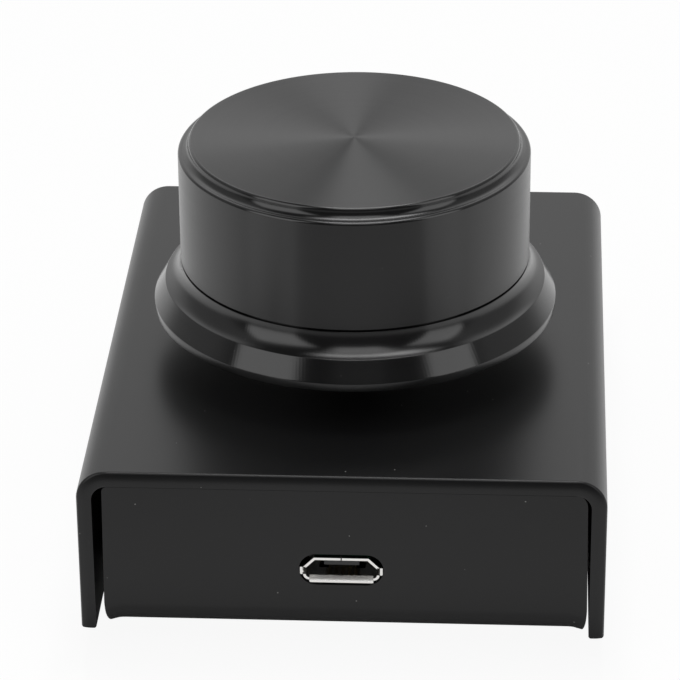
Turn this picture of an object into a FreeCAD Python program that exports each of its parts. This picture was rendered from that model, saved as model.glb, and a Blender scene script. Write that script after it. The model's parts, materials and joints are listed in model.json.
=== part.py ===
import FreeCAD, Part
import os
import re

import Sketcher
from FreeCAD import Vector

# USB volume control: a folded sheet-metal box that carries a push-and-turn rotary encoder
# under its top, a turned knob on the encoder's shaft, and a micro-USB socket in its front.
# Millimetres, +Z up, front towards -Y, origin on the table under the middle of the box.

# ---------------------------------------------------------------- driving sizes

SIZES = [
    # Box
    ("cover_width", 51.0, "outside width of the folded cover"),
    ("cover_length", 65.0, "length of the cover, front to back"),
    ("cover_height", 17.4, "height of the cover over its flanges"),
    ("sheet", 1.5, "thickness of the sheet of both folded parts"),
    ("bend_inside", 1.5, "inside radius of their bends"),
    ("sheet_edge_break", 0.25, "deburring chamfer on the cover's cut edges"),
    ("panel_gap_left", 0.85, "least gap between a panel's left side and the flange"),
    ("panel_gap_right", 0.2, "least gap between its right side and the flange"),
    ("panel_top_gap", 0.02, "gap between a panel's top and the cover"),
    ("panel_end_inset", 0.02, "how far the panels lie inside the cover's ends"),
    ("panel_lean", 0.18, "how far a panel's sides lean in towards its top"),
    ("panel_corner", 0.5, "radius of a panel's upper left corner"),
    ("bend_waist", 0.6, "how far a panel's side draws in at its bend"),
    ("waist_height", 3.2, "height at which it starts to draw in"),
    ("tab_offset", 16.0, "distance of the fixing tabs from the middle"),
    ("tab_length", 9.0, "length of a fixing tab"),
    ("tab_top_gap", 2.4, "how far a fixing tab ends below the cover's bend"),
    ("tab_gap", 0.1, "gap between a tab and the flange"),
    ("tab_relief", 1.2, "width of the relief slots beside a tab"),
    # Screws of the box
    ("screw_rise", 7.5, "height of the screws over the tray's underside"),
    ("screw_diameter", 2.5, "shank of the cover's screws"),
    ("screw_length", 4.4, "length of a screw with its head"),
    ("screw_head", 4.7, "diameter of the countersunk head"),
    ("screw_clearance", 0.05, "radial clearance of a screw in its holes"),
    ("screw_sink", 0.05, "how far a head lies below the flange"),
    ("screw_slot_width", 0.7, "width of the cross recess"),
    ("screw_slot_length", 2.6, "length of the cross recess"),
    ("screw_slot_depth", 0.8, "depth of the cross recess"),
    # Feet
    ("foot_height", 2.0, "thickness of a rubber foot"),
    ("foot_diameter", 8.0, "diameter of a rubber foot"),
    ("foot_chamfer", 0.5, "chamfer of a foot's lower edge"),
    ("foot_inset_side", 7.35, "foot centre from the flange"),
    ("foot_inset_end", 9.1, "foot centre from the box's end"),
    # Knob
    ("knob_forward", 3.3, "how far the knob's axis lies in front of the middle"),
    ("knob_gap", 4.5, "gap between the cover and the knob"),
    ("knob_height", 17.9, "height of the knob"),
    ("knob_radius", 17.6, "radius of the knob's grip"),
    ("rim_cove", 0.95, "radius of the cove round the top face"),
    ("edge_break", 0.12, "small chamfer on the knob's turned edges"),
    ("skirt_reach", 2.75, "how far the skirt reaches out from the grip"),
    ("skirt_rim", 0.87, "height of the skirt's upright rim"),
    ("skirt_edge_reach", 1.6, "how far the edge between cove and cone reaches out"),
    ("skirt_cove", 2.3, "radius of the cove above the skirt"),
    ("skirt_height", 5.1, "height of the seam groove over the knob's underside"),
    ("seam_width", 0.25, "width of the seam groove"),
    ("seam_depth", 0.35, "depth of the seam groove"),
    ("hub_radius", 8.0, "radius of the hub inside the underside's recess"),
    ("recess_wall", 3.0, "wall outside the underside's recess"),
    ("recess_depth", 3.5, "depth of the underside's recess"),
    ("bore_clearance", 0.02, "radial clearance of the knob's bore on the shaft"),
    ("bore_end_gap", 0.5, "gap over the shaft's end in the bore"),
    ("top_wall", 3.4, "wall between the bore's end and the top face"),
    ("grub_rise", 10.0, "height of the grub screw over the knob's underside"),
    ("grub_diameter", 3.0, "diameter of the grub screw"),
    ("grub_length", 4.0, "length of the grub screw"),
    ("grub_clearance", 0.03, "radial clearance of the grub screw in its hole"),
    ("grub_point", 0.5, "chamfer of its point"),
    ("grub_key", 1.5, "width across flats of its hexagon socket"),
    ("grub_key_depth", 1.8, "depth of its hexagon socket"),
    # Encoder
    ("press_travel", 0.5, "travel of the push switch"),
    ("shaft_diameter", 6.0, "diameter of the shaft"),
    ("shaft_flat_cut", 1.5, "how much the shaft's flat takes off"),
    ("shaft_flat_margin", 0.3, "how far the flat reaches out below the knob"),
    ("shaft_point", 0.5, "chamfer at the shaft's end"),
    ("shaft_play", 0.02, "gap over the collar that holds the shaft in"),
    ("collar_rim", 0.5, "how far that collar stands out"),
    ("collar_thickness", 0.4, "thickness of that collar"),
    ("drive_step", 0.5, "step from the shaft to its driving end"),
    ("drive_cut", 0.6, "how much each driving flat takes off"),
    ("drive_reach", 0.4, "how far the driving end reaches out under the wheel"),
    ("drive_clearance", 0.06, "clearance of the driving flats in the wheel"),
    ("bush_wall", 0.45, "wall of the threaded neck"),
    ("bush_top_gap", 0.5, "gap between the neck and the pressed knob"),
    ("bush_chamfer", 0.4, "chamfer at the neck's end"),
    ("bush_clearance", 0.05, "radial clearance of the shaft in the neck"),
    ("bush_hole_clearance", 0.1, "radial clearance of the neck in the cover"),
    ("bush_plate", 1.1, "thickness of the bush's plate"),
    ("frame_sheet", 0.4, "sheet of the clamping frame"),
    ("frame_rise", 1.3, "height of the frame's sides over the board"),
    ("lug_width", 2.0, "width of the frame's board lugs"),
    ("lug_point", 0.5, "chamfer of a lug's point"),
    ("base_wall", 0.7, "wall of the moulded housing"),
    ("base_floor", 0.3, "floor under the switch chamber"),
    ("chamber_clearance", 0.2, "radial clearance of the wheel in its chamber"),
    ("spring_clearance", 0.15, "radial clearance of the detent spring at both its rims"),
    ("spring_sheet", 0.2, "thickness of the detent spring"),
    ("spring_nose", 0.6, "width of the nose that clicks into the notches"),
    ("spring_nose_drop", 0.25, "how far the nose reaches down"),
    ("wheel_radius", 4.9, "radius of the wheel"),
    ("wheel_height", 1.95, "height of the wheel"),
    ("wheel_gap", 0.2, "gap between the wheel and the detent spring"),
    ("collar_clearance", 0.25, "radial clearance of the collar in the wheel's recess"),
    ("press_margin", 0.18, "gap under the collar when the knob is pressed"),
    ("detent_count", 20, "notches in the wheel and slots in the disc"),
    ("notch_width", 0.8, "width of a notch"),
    ("notch_depth", 0.15, "depth of a notch"),
    ("disc_inset", 0.2, "how far the code disc lies inside the wheel's rim"),
    ("disc_thickness", 0.15, "thickness of the code disc"),
    ("disc_slot_width", 0.5, "width of a slot in the code disc"),
    ("disc_slot_length", 0.9, "length of a slot in the code disc"),
    ("pin_count", 3, "signal pins"),
    ("pin_pitch", 2.5, "pitch of the signal pins"),
    ("pin_stand", 1.7, "distance of the signal pins from the housing"),
    ("pin_width", 0.9, "width of a pin"),
    ("pin_sheet", 0.3, "sheet of the pins and wipers"),
    ("pin_tail", 0.9, "reach of pins and lugs under the board"),
    ("wiper_length", 1.4, "raised length of a wiper"),
    ("wiper_rise", 0.42, "height of that raised length"),
    ("wiper_gap", 0.03, "running gap between the wipers and the code disc"),
    ("wiper_inset", 0.35, "distance of the wipers' ends from the switch chamber"),
    ("switch_pitch", 5.0, "pitch of the two switch pins"),
    ("switch_stand", 1.2, "distance of the switch pins from the housing"),
    ("switch_sheet", 0.2, "sheet of the switch contacts"),
    ("well_clearance", 0.25, "radial clearance of dome and plunger in the switch chamber"),
    ("dome_radius", 2.6, "radius of the snap dome and of the plunger's head"),
    ("dome_height", 0.5, "height of the snap dome"),
    ("dome_crown", 1.2, "radius of the dome's flat crown"),
    ("dome_sheet", 0.08, "thickness of the snap dome"),
    ("plunger_head", 0.6, "thickness of the plunger's head"),
    ("plunger_stem", 1.1, "radius of the plunger's stem"),
    ("stem_length", 0.66, "length of the plunger's stem"),
    ("plunger_gap", 0.02, "gap at each end of the plunger"),
    ("nut_wall", 1.5, "least wall of the nut"),
    ("nut_height", 2.0, "height of the nut"),
    ("nut_chamfer", 0.4, "chamfer of the nut's corners"),
    ("nut_clearance", 0.05, "radial clearance of the nut on the neck"),
    ("washer_rim", 2.5, "how far the washer reaches out from the neck"),
    ("washer_height", 0.5, "thickness of the washer"),
    ("washer_clearance", 0.15, "radial clearance of the washer on the neck"),
    # Circuit board
    ("board_width", 34.0, "width of the circuit board"),
    ("board_length", 44.0, "length of the circuit board"),
    ("board_thickness", 1.0, "thickness of the circuit board"),
    ("board_corner", 1.0, "corner radius of the circuit board"),
    ("board_front_gap", 0.3, "gap between the board and the front panel"),
    ("pin_hole", 1.2, "diameter of the board's pin holes"),
    ("lug_slot_width", 1.0, "width of the board's slots for the lugs"),
    ("lug_slot_play", 0.25, "end play of a lug in its slot"),
    # Micro-USB receptacle
    ("usb_width", 7.4, "width of the receptacle's shell"),
    ("usb_height", 2.45, "height of the shell"),
    ("usb_depth", 5.2, "depth of the shell"),
    ("usb_sheet", 0.25, "sheet of the shell"),
    ("usb_corner", 1.05, "slanted corners on the board side"),
    ("usb_round", 0.6, "rounded corners on the far side"),
    ("usb_inset", 0.15, "how far the mouth lies inside the panel"),
    ("usb_seam", 0.12, "width of the shell's seam"),
    ("lip_depth", 0.5, "depth of the flared lips"),
    ("lip_flare", 0.3, "how far the lips flare out"),
    ("shell_leg_width", 1.2, "width of the shell's board legs"),
    ("shell_leg_reach", 1.3, "reach of those legs over the board's underside"),
    ("shell_leg_place", 2.6, "distance of the legs from the mouth"),
    ("leg_slot_width", 0.8, "width of the board's slots for those legs"),
    ("leg_slot_play", 0.2, "end play of a leg in its slot"),
    ("latch_width", 0.9, "width of the windows for the plug's latches"),
    ("latch_length", 1.3, "length of those windows"),
    ("latch_pitch", 3.6, "pitch of those windows"),
    ("latch_place", 1.9, "distance of the windows from the mouth"),
    ("block_front", 3.7, "front of the moulded block from the mouth"),
    ("block_back", 5.4, "back of the moulded block from the mouth"),
    ("block_clearance", 0.03, "clearance of the block in the shell"),
    ("tongue_width", 3.4, "width of the tongue"),
    ("tongue_top", 0.65, "top of the tongue under the board"),
    ("tongue_bottom", 1.2, "underside of the tongue"),
    ("tongue_front", 0.8, "front of the tongue from the mouth"),
    ("contact_width", 0.3, "width of a contact strip"),
    ("contact_sheet", 0.12, "thickness of a contact strip"),
    ("contact_pitch", 0.65, "pitch of the contact strips"),
    ("contact_foot", 0.9, "length of a contact's foot on the board"),
    ("contact_count", 5, "number of contact strips"),
    ("slot_side_gap", 0.1, "gap between the lips and the ends of the panel's slot"),
    ("slot_gap", 0.175, "gap between the lip and the long side of that slot"),
    # Parts on the board's underside
    ("chip_length", 9.9, "length of the controller's body"),
    ("chip_width", 3.9, "width of the controller's body"),
    ("chip_height", 1.4, "height of the controller's body"),
    ("chip_standoff", 0.15, "gap between that body and the board"),
    ("chip_chamfer", 0.25, "chamfer along the controller's edges"),
    ("lead_count", 8, "leads on each side of the controller"),
    ("lead_pitch", 1.27, "pitch of the leads"),
    ("lead_width", 0.4, "width of a lead"),
    ("lead_sheet", 0.2, "thickness of a lead"),
    ("lead_span", 6.0, "span over the leads"),
    ("crystal_length", 5.0, "length of the crystal's can"),
    ("crystal_width", 3.2, "width of the crystal's can"),
    ("crystal_height", 1.0, "height of the crystal's can"),
    ("crystal_round", 0.25, "rounding of the can's edges"),
    ("crystal_side", 10.5, "distance of the crystal from the middle plane"),
    ("small_length", 1.6, "length of a chip resistor or capacitor"),
    ("small_width", 0.8, "width of a chip resistor or capacitor"),
    ("resistor_height", 0.45, "height of a chip resistor"),
    ("capacitor_height", 0.8, "height of a chip capacitor"),
    ("small_pitch", 2.4, "pitch of a row of chip parts"),
    ("resistor_gap", 3.0, "distance of the resistors behind the switch pins"),
    ("capacitor_gap", 0.8, "gap between the capacitors and the socket's contacts"),
    ("resistor_count", 5, "number of chip resistors"),
    ("capacitor_count", 4, "number of chip capacitors"),
]

# Places and sizes that follow from the driving ones.
PLACES = {
    # Box
    "bend_outside": "bend_inside + sheet",
    "inside_half": "cover_width / 2 - sheet",
    "tray_left": "inside_half - panel_gap_left",
    "tray_right": "inside_half - panel_gap_right",
    "panel_corner_right": "bend_inside - panel_gap_right",
    "tray_end": "cover_length / 2 - panel_end_inset",
    "panel_height": "cover_height - sheet - panel_top_gap",
    "waist_radius": "(waist_height^2 + bend_waist^2) / (2 * bend_waist)",
    "tab_face": "inside_half - tab_gap",
    "tab_height": "cover_height - bend_outside - tab_top_gap",
    "screw_head_face": "cover_width / 2 - screw_sink",
    "screw_cone": "(screw_head - screw_diameter) / 2",
    # Levels over the table
    "cover_top": "foot_height + cover_height",
    "mounting_face": "cover_top - sheet",
    "knob_floor": "cover_top + knob_gap",
    "board_top": "mounting_face - body_height",
    "board_underside": "board_top - board_thickness",
    # Knob and shaft
    "skirt_radius": "knob_radius + skirt_reach",
    "skirt_edge_radius": "knob_radius + skirt_edge_reach",
    "skirt_cove_height": "sqrt(skirt_cove^2 - (skirt_cove - skirt_edge_reach)^2)",
    "rim_radius": "knob_radius - edge_break - rim_cove",
    "shaft_radius": "shaft_diameter / 2",
    "shaft_length": "sheet + knob_gap + knob_height - top_wall - bore_end_gap",
    "flat_height": "shaft_radius - shaft_flat_cut",
    "drive_radius": "shaft_radius - drive_step",
    "collar_radius": "shaft_radius + collar_rim",
    # Depths under the mounting face
    "plate_depth": "frame_sheet + bush_plate",
    "collar_depth": "plate_depth + shaft_play",
    "collar_end": "collar_depth + collar_thickness",
    "wheel_top": "plate_depth + spring_sheet + wheel_gap",
    "wheel_bottom": "wheel_top + wheel_height",
    "wheel_recess_depth": "collar_end + press_travel + press_margin",
    "disc_bottom": "wheel_bottom + disc_thickness",
    "wiper_top": "disc_bottom + wiper_gap",
    "cavity_depth": "wiper_top + wiper_rise + pin_sheet",
    "drive_end": "disc_bottom + drive_reach",
    "plunger_top": "drive_end + plunger_gap",
    "stem_end": "plunger_top + plunger_head + stem_length",
    "well_depth": "stem_end + plunger_gap + dome_height",
    "body_height": "well_depth + base_floor",
    "pin_reach": "body_height + board_thickness + pin_tail",
    # Sizes across the shaft's axis
    "bush_radius": "shaft_radius + bush_clearance + bush_wall",
    "bush_height": "sheet + knob_gap - press_travel - bush_top_gap",
    "wheel_recess_radius": "collar_radius + collar_clearance",
    "cavity_radius": "wheel_radius + chamber_clearance",
    "spring_inside": "wheel_recess_radius + spring_clearance",
    "spring_outside": "cavity_radius - spring_clearance",
    "well_radius": "dome_radius + well_clearance",
    "wiper_end": "well_radius + wiper_inset",
    "wiper_place": "wiper_end + wiper_length / 2",
    "body_width": "2 * (cavity_radius + base_wall)",
    "frame_inside": "body_width / 2",
    "pin_row": "body_width / 2 + pin_stand",
    "switch_row": "body_width / 2 + switch_stand",
    # Socket
    "usb_half": "usb_width / 2",
    "usb_top_half": "usb_half - usb_corner",
    "usb_inner_half": "usb_half - usb_sheet",
    "usb_inner_corner": "usb_corner - usb_sheet * (2 - sqrt(2))",
    "usb_inner_round": "usb_round - usb_sheet",
    "usb_mouth": "tray_end - usb_inset",
    "lip_half": "usb_half - usb_round",
    "side_lip_end": "usb_height - usb_round",
    "contact_rise": "block_back + contact_sheet",
    # Board, distances in front of the middle
    "board_front": "tray_end - sheet - board_front_gap",
    "board_back": "board_front - board_length",
    "capacitor_line": "usb_mouth - contact_rise - contact_foot - capacitor_gap - small_length / 2",
    "chip_line": "(capacitor_line - small_length / 2 + knob_forward + pin_row + pin_sheet / 2) / 2",
    "resistor_line": "knob_forward - switch_row - resistor_gap",
}

NUMBERS = {alias: number for alias, number, meaning in SIZES}

document = FreeCAD.newDocument("VolumeKnob")
sheet = document.addObject("Spreadsheet::Sheet", "Sizes")
for row, (alias, number, meaning) in enumerate(SIZES, start=1):
    sheet.set(f"A{row}", meaning)
    sheet.set(f"B{row}", str(number))
    sheet.setAlias(f"B{row}", alias)
document.recompute()


def sized(expression):
    """The expression with every size as a cell of the sheet and every place worked out."""
    def spelled(match):
        word = match.group(0)
        if word in PLACES:
            return "(" + sized(PLACES[word]) + ")"
        return "Sizes." + word if word in NUMBERS else word
    return re.sub(r"[a-z_]+", spelled, expression)


def value(expression):
    """The number that the expression comes to now."""
    return float(sheet.evalExpression(sized(expression)))


# ---------------------------------------------------------------- modelling steps

XY, XZ, YZ = "XY_Plane", "XZ_Plane", "YZ_Plane"
X_AXIS, Z_AXIS = "X_Axis", "Z_Axis"
ORIGIN, HORIZONTAL_AXIS, VERTICAL_AXIS = (-1, 1), -1, -2
pieces = []


def new_body(name, x="0", y="0", z="0", kept=True):
    """An empty body at its place; a kept one is a piece that gets its own file."""
    body = document.addObject("PartDesign::Body", name)
    body.Label = name
    place(body, x, y, z)
    if kept:
        pieces.append(body)
    return body


def place(piece, x, y, z):
    for axis, expression in zip("xyz", (x, y, z)):
        piece.setExpression(f"Placement.Base.{axis}", sized(expression))


def datum(body, role):
    return next(item for item in body.Origin.OriginFeatures if item.Role == role)


def new_sketch(body, plane, at="0"):
    """A sketch parallel to an origin plane, at a distance along the plane's own axis."""
    sketch = body.newObject("Sketcher::SketchObject", body.Label + "_sketch")
    sketch.AttachmentSupport = [(datum(body, plane), "")]
    sketch.MapMode = "FlatFace"
    sign = "-" if plane == XZ else ""
    sketch.setExpression("AttachmentOffset.Base.z", f"{sign}({sized(at)})")
    return sketch


def pin_point(sketch, geometry, end, u, v):
    """Hold a point of the sketch at two expressions."""
    for kind, expression, axis in (("DistanceX", u, VERTICAL_AXIS), ("DistanceY", v, HORIZONTAL_AXIS)):
        if expression == "0":
            sketch.addConstraint(Sketcher.Constraint("PointOnObject", geometry, end, axis))
            continue
        number = sketch.addConstraint(
            Sketcher.Constraint(kind, *ORIGIN, geometry, end, value(expression)))
        sketch.setExpression(f"Constraints[{number}]", sized(expression))


def hold_radius(sketch, geometry, radius):
    number = sketch.addConstraint(Sketcher.Constraint("Radius", geometry, value(radius)))
    sketch.setExpression(f"Constraints[{number}]", sized(radius))


def arc_through(start, end, radius):
    """The short arc between two points, counterclockwise for a positive radius."""
    chord = end - start
    rise = (radius ** 2 - (chord.Length / 2) ** 2) ** 0.5
    left = Vector(-chord.y, chord.x, 0).normalize()
    centre = (start + end) / 2 + left * (rise if radius > 0 else -rise)
    first, last = (start, end) if radius > 0 else (end, start)
    sweep = [(point - centre).getAngle(Vector(1, 0, 0)) * (1 if point.y >= centre.y else -1)
             for point in (first, last)]
    return Part.ArcOfCircle(Part.Circle(centre, Vector(0, 0, 1), abs(radius)), *sweep)


def outline(sketch, corners):
    """A closed loop. A corner is (u, v), or (u, v, radius) if the next side is an arc:
    "+radius" turns left along the loop and "-radius" turns right."""
    first = sketch.GeometryCount
    points = [Vector(value(corner[0]), value(corner[1]), 0) for corner in corners]
    starts = []
    ends = []
    for index, corner in enumerate(corners):
        start, end = points[index], points[(index + 1) % len(points)]
        if len(corner) == 2:
            sketch.addGeometry(Part.LineSegment(start, end), False)
            backwards = False
        else:
            radius = value(corner[2])
            sketch.addGeometry(arc_through(start, end, radius), False)
            backwards = radius < 0
        starts.append((first + index, 2 if backwards else 1))
        ends.append((first + index, 1 if backwards else 2))
    for index, corner in enumerate(corners):
        sketch.addConstraint(Sketcher.Constraint("Coincident", *ends[index - 1], *starts[index]))
        pin_point(sketch, *starts[index], corner[0], corner[1])
    for index, corner in enumerate(corners):
        if len(corner) == 3:
            hold_radius(sketch, first + index, corner[2].lstrip("+-"))


def box_outline(sketch, u_low, u_high, v_low, v_high):
    outline(sketch, [(u_low, v_low), (u_high, v_low), (u_high, v_high), (u_low, v_high)])


def circle(sketch, u, v, radius):
    geometry = sketch.addGeometry(
        Part.Circle(Vector(value(u), value(v), 0), Vector(0, 0, 1), value(radius)), False)
    pin_point(sketch, geometry, 3, u, v)
    hold_radius(sketch, geometry, radius)


def obround(sketch, u, v, width, height):
    """A slot with round ends, its length along the sketch's first axis."""
    straight = f"(({width}) - ({height})) / 2"
    radius = f"({height}) / 2"
    outline(sketch, [
        (f"{u} - {straight}", f"{v} - {radius}"),
        (f"{u} + {straight}", f"{v} - {radius}", f"+{radius}"),
        (f"{u} + {straight}", f"{v} + {radius}"),
        (f"{u} - {straight}", f"{v} + {radius}", f"+{radius}"),
    ])


def extrude(kind, body, sketch, length, way):
    """Pad or pocket a sketch along its axis: way is "+", "-" or "both"."""
    before = body.Shape.Volume if body.Shape.Solids else 0.0
    feature = body.newObject("PartDesign::" + kind, f"{body.Label}_{kind.lower()}")
    feature.Profile = sketch
    if way == "both":
        feature.SideType = "Symmetric"
    else:
        upwards = (way == "+") != (sketch.AttachmentSupport[0][0].Role == XZ)
        feature.Reversed = upwards if kind == "Pocket" else not upwards
    if length == "through":
        feature.Type = "ThroughAll"
    else:
        feature.setExpression("Length", sized(length))
    document.recompute()
    grown = body.Shape.Volume - before
    if grown * (1 if kind == "Pad" else -1) <= 0:
        raise ValueError(f"{feature.Name} changes nothing")
    return feature


def pad(body, sketch, length, way="+"):
    return extrude("Pad", body, sketch, length, way)


def pocket(body, sketch, length, way="-"):
    return extrude("Pocket", body, sketch, length, way)


def revolve(body, sketch, axis="V_Axis"):
    feature = body.newObject("PartDesign::Revolution", body.Label + "_turned")
    feature.Profile = sketch
    feature.ReferenceAxis = (sketch, [axis])
    feature.Angle = 360
    document.recompute()
    return feature


def dress(kind, body, size, chosen):
    """Fillet or chamfer the edges of the body that the test picks out."""
    base = body.Tip
    names = [f"Edge{number}" for number, edge in enumerate(base.Shape.Edges, start=1) if chosen(edge)]
    feature = body.newObject("PartDesign::" + kind, f"{body.Label}_{kind.lower()}")
    feature.Base = (base, names)
    feature.setExpression("Radius" if kind == "Fillet" else "Size", sized(size))
    document.recompute()
    return feature


def fillet(body, radius, chosen):
    return dress("Fillet", body, radius, chosen)


def chamfer(body, size, chosen):
    return dress("Chamfer", body, size, chosen)


def ring_of(body, features, count):
    """Repeat features round the body's Z axis."""
    feature = body.newObject("PartDesign::PolarPattern", body.Label + "_ring")
    feature.Originals = features
    feature.Axis = (datum(body, Z_AXIS), [""])
    feature.Angle = 360
    feature.setExpression("Occurrences", sized(count))
    body.Tip = feature
    document.recompute()
    return feature


def row_of(body, features, axis, pitch, count):
    """Repeat features in a row along an origin axis."""
    feature = body.newObject("PartDesign::LinearPattern", body.Label + "_row")
    feature.Originals = features
    feature.Direction = (datum(body, axis), [""])
    feature.setExpression("Length", sized(f"({pitch}) * ({count} - 1)"))
    feature.setExpression("Occurrences", sized(count))
    body.Tip = feature
    document.recompute()
    return feature


def mirror(body, features, *planes):
    """Mirror features in one origin plane, or in two for four of them."""
    feature = body.newObject("PartDesign::MultiTransform", body.Label + "_mirrored")
    mirrors = []
    for plane in planes:
        step = body.newObject("PartDesign::Mirrored", body.Label + "_mirror")
        step.MirrorPlane = (datum(body, plane), [""])
        mirrors.append(step)
    feature.Originals = features
    feature.Transformations = mirrors
    body.Tip = feature
    document.recompute()
    return feature


def boolean(kind, name, base, tool):
    """A piece that is one solid cut by, or fused with, another."""
    piece = document.addObject("Part::" + kind, name)
    piece.Label = name
    piece.Base = base
    piece.Tool = tool
    pieces.append(piece)
    document.recompute()
    return piece


def level(edge, axis, expression):
    """True if the whole edge lies at one place along an axis."""
    box = edge.BoundBox
    low, high = {"x": (box.XMin, box.XMax), "y": (box.YMin, box.YMax), "z": (box.ZMin, box.ZMax)}[axis]
    place_on_axis = value(expression)
    return abs(low - place_on_axis) < 1e-4 and abs(high - place_on_axis) < 1e-4


# ---------------------------------------------------------------- folded box

def make_top_cover():
    """Sheet folded to a U: the top with the encoder's hole, and two flanges with
    countersunk holes. Local Z = 0 is the flanges' lower edge."""
    cover = new_body("top_cover", z="foot_height")
    profile = new_sketch(cover, XZ)
    outline(profile, [
        ("-cover_width / 2", "0"),
        ("-inside_half", "0"),
        ("-inside_half", "cover_height - bend_outside", "-bend_inside"),
        ("-inside_half + bend_inside", "cover_height - sheet"),
        ("inside_half - bend_inside", "cover_height - sheet", "-bend_inside"),
        ("inside_half", "cover_height - bend_outside"),
        ("inside_half", "0"),
        ("cover_width / 2", "0"),
        ("cover_width / 2", "cover_height - bend_outside", "+bend_outside"),
        ("cover_width / 2 - bend_outside", "cover_height"),
        ("bend_outside - cover_width / 2", "cover_height", "+bend_outside"),
        ("-cover_width / 2", "cover_height - bend_outside"),
    ])
    pad(cover, profile, "cover_length", "both")
    chamfer(cover, "sheet_edge_break", lambda edge: level(edge, "z", "0")
            or level(edge, "y", "-cover_length / 2") or level(edge, "y", "cover_length / 2"))

    bush_hole = new_sketch(cover, XY, "cover_height")
    circle(bush_hole, "0", "-knob_forward", "bush_radius + bush_hole_clearance")
    pocket(cover, bush_hole, "2 * sheet")

    right_holes = new_sketch(cover, YZ, "cover_width / 2")
    for side in ("-", ""):
        circle(right_holes, f"{side}tab_offset", "screw_rise", "screw_diameter / 2 + screw_clearance")
    drilled = cover.newObject("PartDesign::Hole", "top_cover_countersinks")
    drilled.Profile = right_holes
    document.recompute()
    drilled.DepthType = "Dimension"
    drilled.HoleCutType = "Countersink"
    drilled.HoleCutCustomValues = True
    drilled.HoleCutCountersinkAngle = 90
    drilled.setExpression("Depth", sized("2 * sheet"))
    drilled.setExpression("Diameter", sized("screw_diameter + 2 * screw_clearance"))
    drilled.setExpression("HoleCutDiameter", sized("screw_head + 2 * (screw_clearance + screw_sink)"))
    document.recompute()
    mirror(cover, [drilled], YZ)


def make_bottom_tray():
    """Second folded U: floor, front panel with the socket's slot, back panel, and four tabs
    that take the cover's screws. Local Z = 0 is the underside of its floor."""
    tray = new_body("bottom_tray", z="foot_height")
    profile = new_sketch(tray, YZ, "(tray_right - tray_left) / 2")
    outline(profile, [
        ("-tray_end", "bend_outside", "+bend_outside"),
        ("-tray_end + bend_outside", "0"),
        ("tray_end - bend_outside", "0", "+bend_outside"),
        ("tray_end", "bend_outside"),
        ("tray_end", "panel_height"),
        ("tray_end - sheet", "panel_height"),
        ("tray_end - sheet", "bend_outside", "-bend_inside"),
        ("tray_end - bend_outside", "sheet"),
        ("-tray_end + bend_outside", "sheet", "-bend_inside"),
        ("-tray_end + sheet", "bend_outside"),
        ("-tray_end + sheet", "panel_height"),
        ("-tray_end", "panel_height"),
    ])
    pad(tray, profile, "tray_left + tray_right", "both")

    waists = new_sketch(tray, XZ, "-tray_end")
    for sign, side, turn in (("-", "tray_left", "+"), ("", "tray_right", "-")):
        outline(waists, [
            (f"{sign}({side} - bend_waist)", "0"),
            (f"{sign}({side} + sheet)", "0"),
            (f"{sign}({side} + sheet)", "panel_height"),
            (f"{sign}({side} - panel_lean)", "panel_height"),
            (f"{sign}{side}", "waist_height", f"{turn}waist_radius"),
        ])
    drawn_in = pocket(tray, waists, "bend_outside", "+")
    mirror(tray, [drawn_in], XZ)
    fillet(tray, "panel_corner", lambda edge: level(edge, "z", "panel_height")
           and level(edge, "x", "panel_lean - tray_left"))
    fillet(tray, "panel_corner_right", lambda edge: level(edge, "z", "panel_height")
           and level(edge, "x", "tray_right - panel_lean"))

    tab_root = "tab_face - bend_outside"
    reliefs = new_sketch(tray, XY)
    box_outline(reliefs, tab_root, "tray_right + sheet",
                "tab_offset - tab_length / 2 - tab_relief", "tab_offset + tab_length / 2 + tab_relief")
    relief = pocket(tray, reliefs, "sheet", "+")
    mirror(tray, [relief], XZ, YZ)

    tab_profile = new_sketch(tray, XZ, "tab_offset")
    outline(tab_profile, [
        (f"{tab_root} - sheet", "0"),
        (tab_root, "0", "+bend_outside"),
        ("tab_face", "bend_outside"),
        ("tab_face", "tab_height"),
        ("tab_face - sheet", "tab_height"),
        ("tab_face - sheet", "bend_outside", "-bend_inside"),
        (tab_root, "sheet"),
        (f"{tab_root} - sheet", "sheet"),
    ])
    tab = pad(tray, tab_profile, "tab_length", "both")
    mirror(tray, [tab], XZ, YZ)

    tab_holes = new_sketch(tray, YZ)
    for side in ("-", ""):
        circle(tab_holes, f"{side}tab_offset", "screw_rise", "screw_diameter / 2 + screw_clearance")
    pocket(tray, tab_holes, "through", "both")

    slot = new_sketch(tray, XZ, "-tray_end")
    obround(slot, "0", "board_underside - foot_height - usb_height / 2",
            "usb_width + 2 * (lip_flare + slot_side_gap)", "usb_height + 2 * (lip_flare + slot_gap)")
    pocket(tray, slot, "2 * sheet", "+")


def make_cover_screws():
    """Four countersunk cross-recessed screws, through the flanges into the tray's tabs."""
    screws = new_body("cover_screws", z="foot_height + screw_rise")
    profile = new_sketch(screws, XZ, "tab_offset")
    outline(profile, [
        ("screw_head_face", "0"),
        ("screw_head_face", "screw_head / 2"),
        ("screw_head_face - screw_cone", "screw_diameter / 2"),
        ("screw_head_face - screw_length", "screw_diameter / 2"),
        ("screw_head_face - screw_length", "0"),
    ])
    turned = revolve(screws, profile, "H_Axis")
    recess = new_sketch(screws, YZ, "screw_head_face")
    arm, half = "screw_slot_length / 2", "screw_slot_width / 2"
    outline(recess, [
        (f"tab_offset + {u}", v) for u, v in (
            (arm, f"-{half}"), (arm, half), (half, half), (half, arm), (f"-{half}", arm),
            (f"-{half}", half), (f"-{arm}", half), (f"-{arm}", f"-{half}"), (f"-{half}", f"-{half}"),
            (f"-{half}", f"-{arm}"), (half, f"-{arm}"), (half, f"-{half}"))])
    cross = pocket(screws, recess, "screw_slot_depth")
    mirror(screws, [turned, cross], XZ, YZ)


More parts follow.
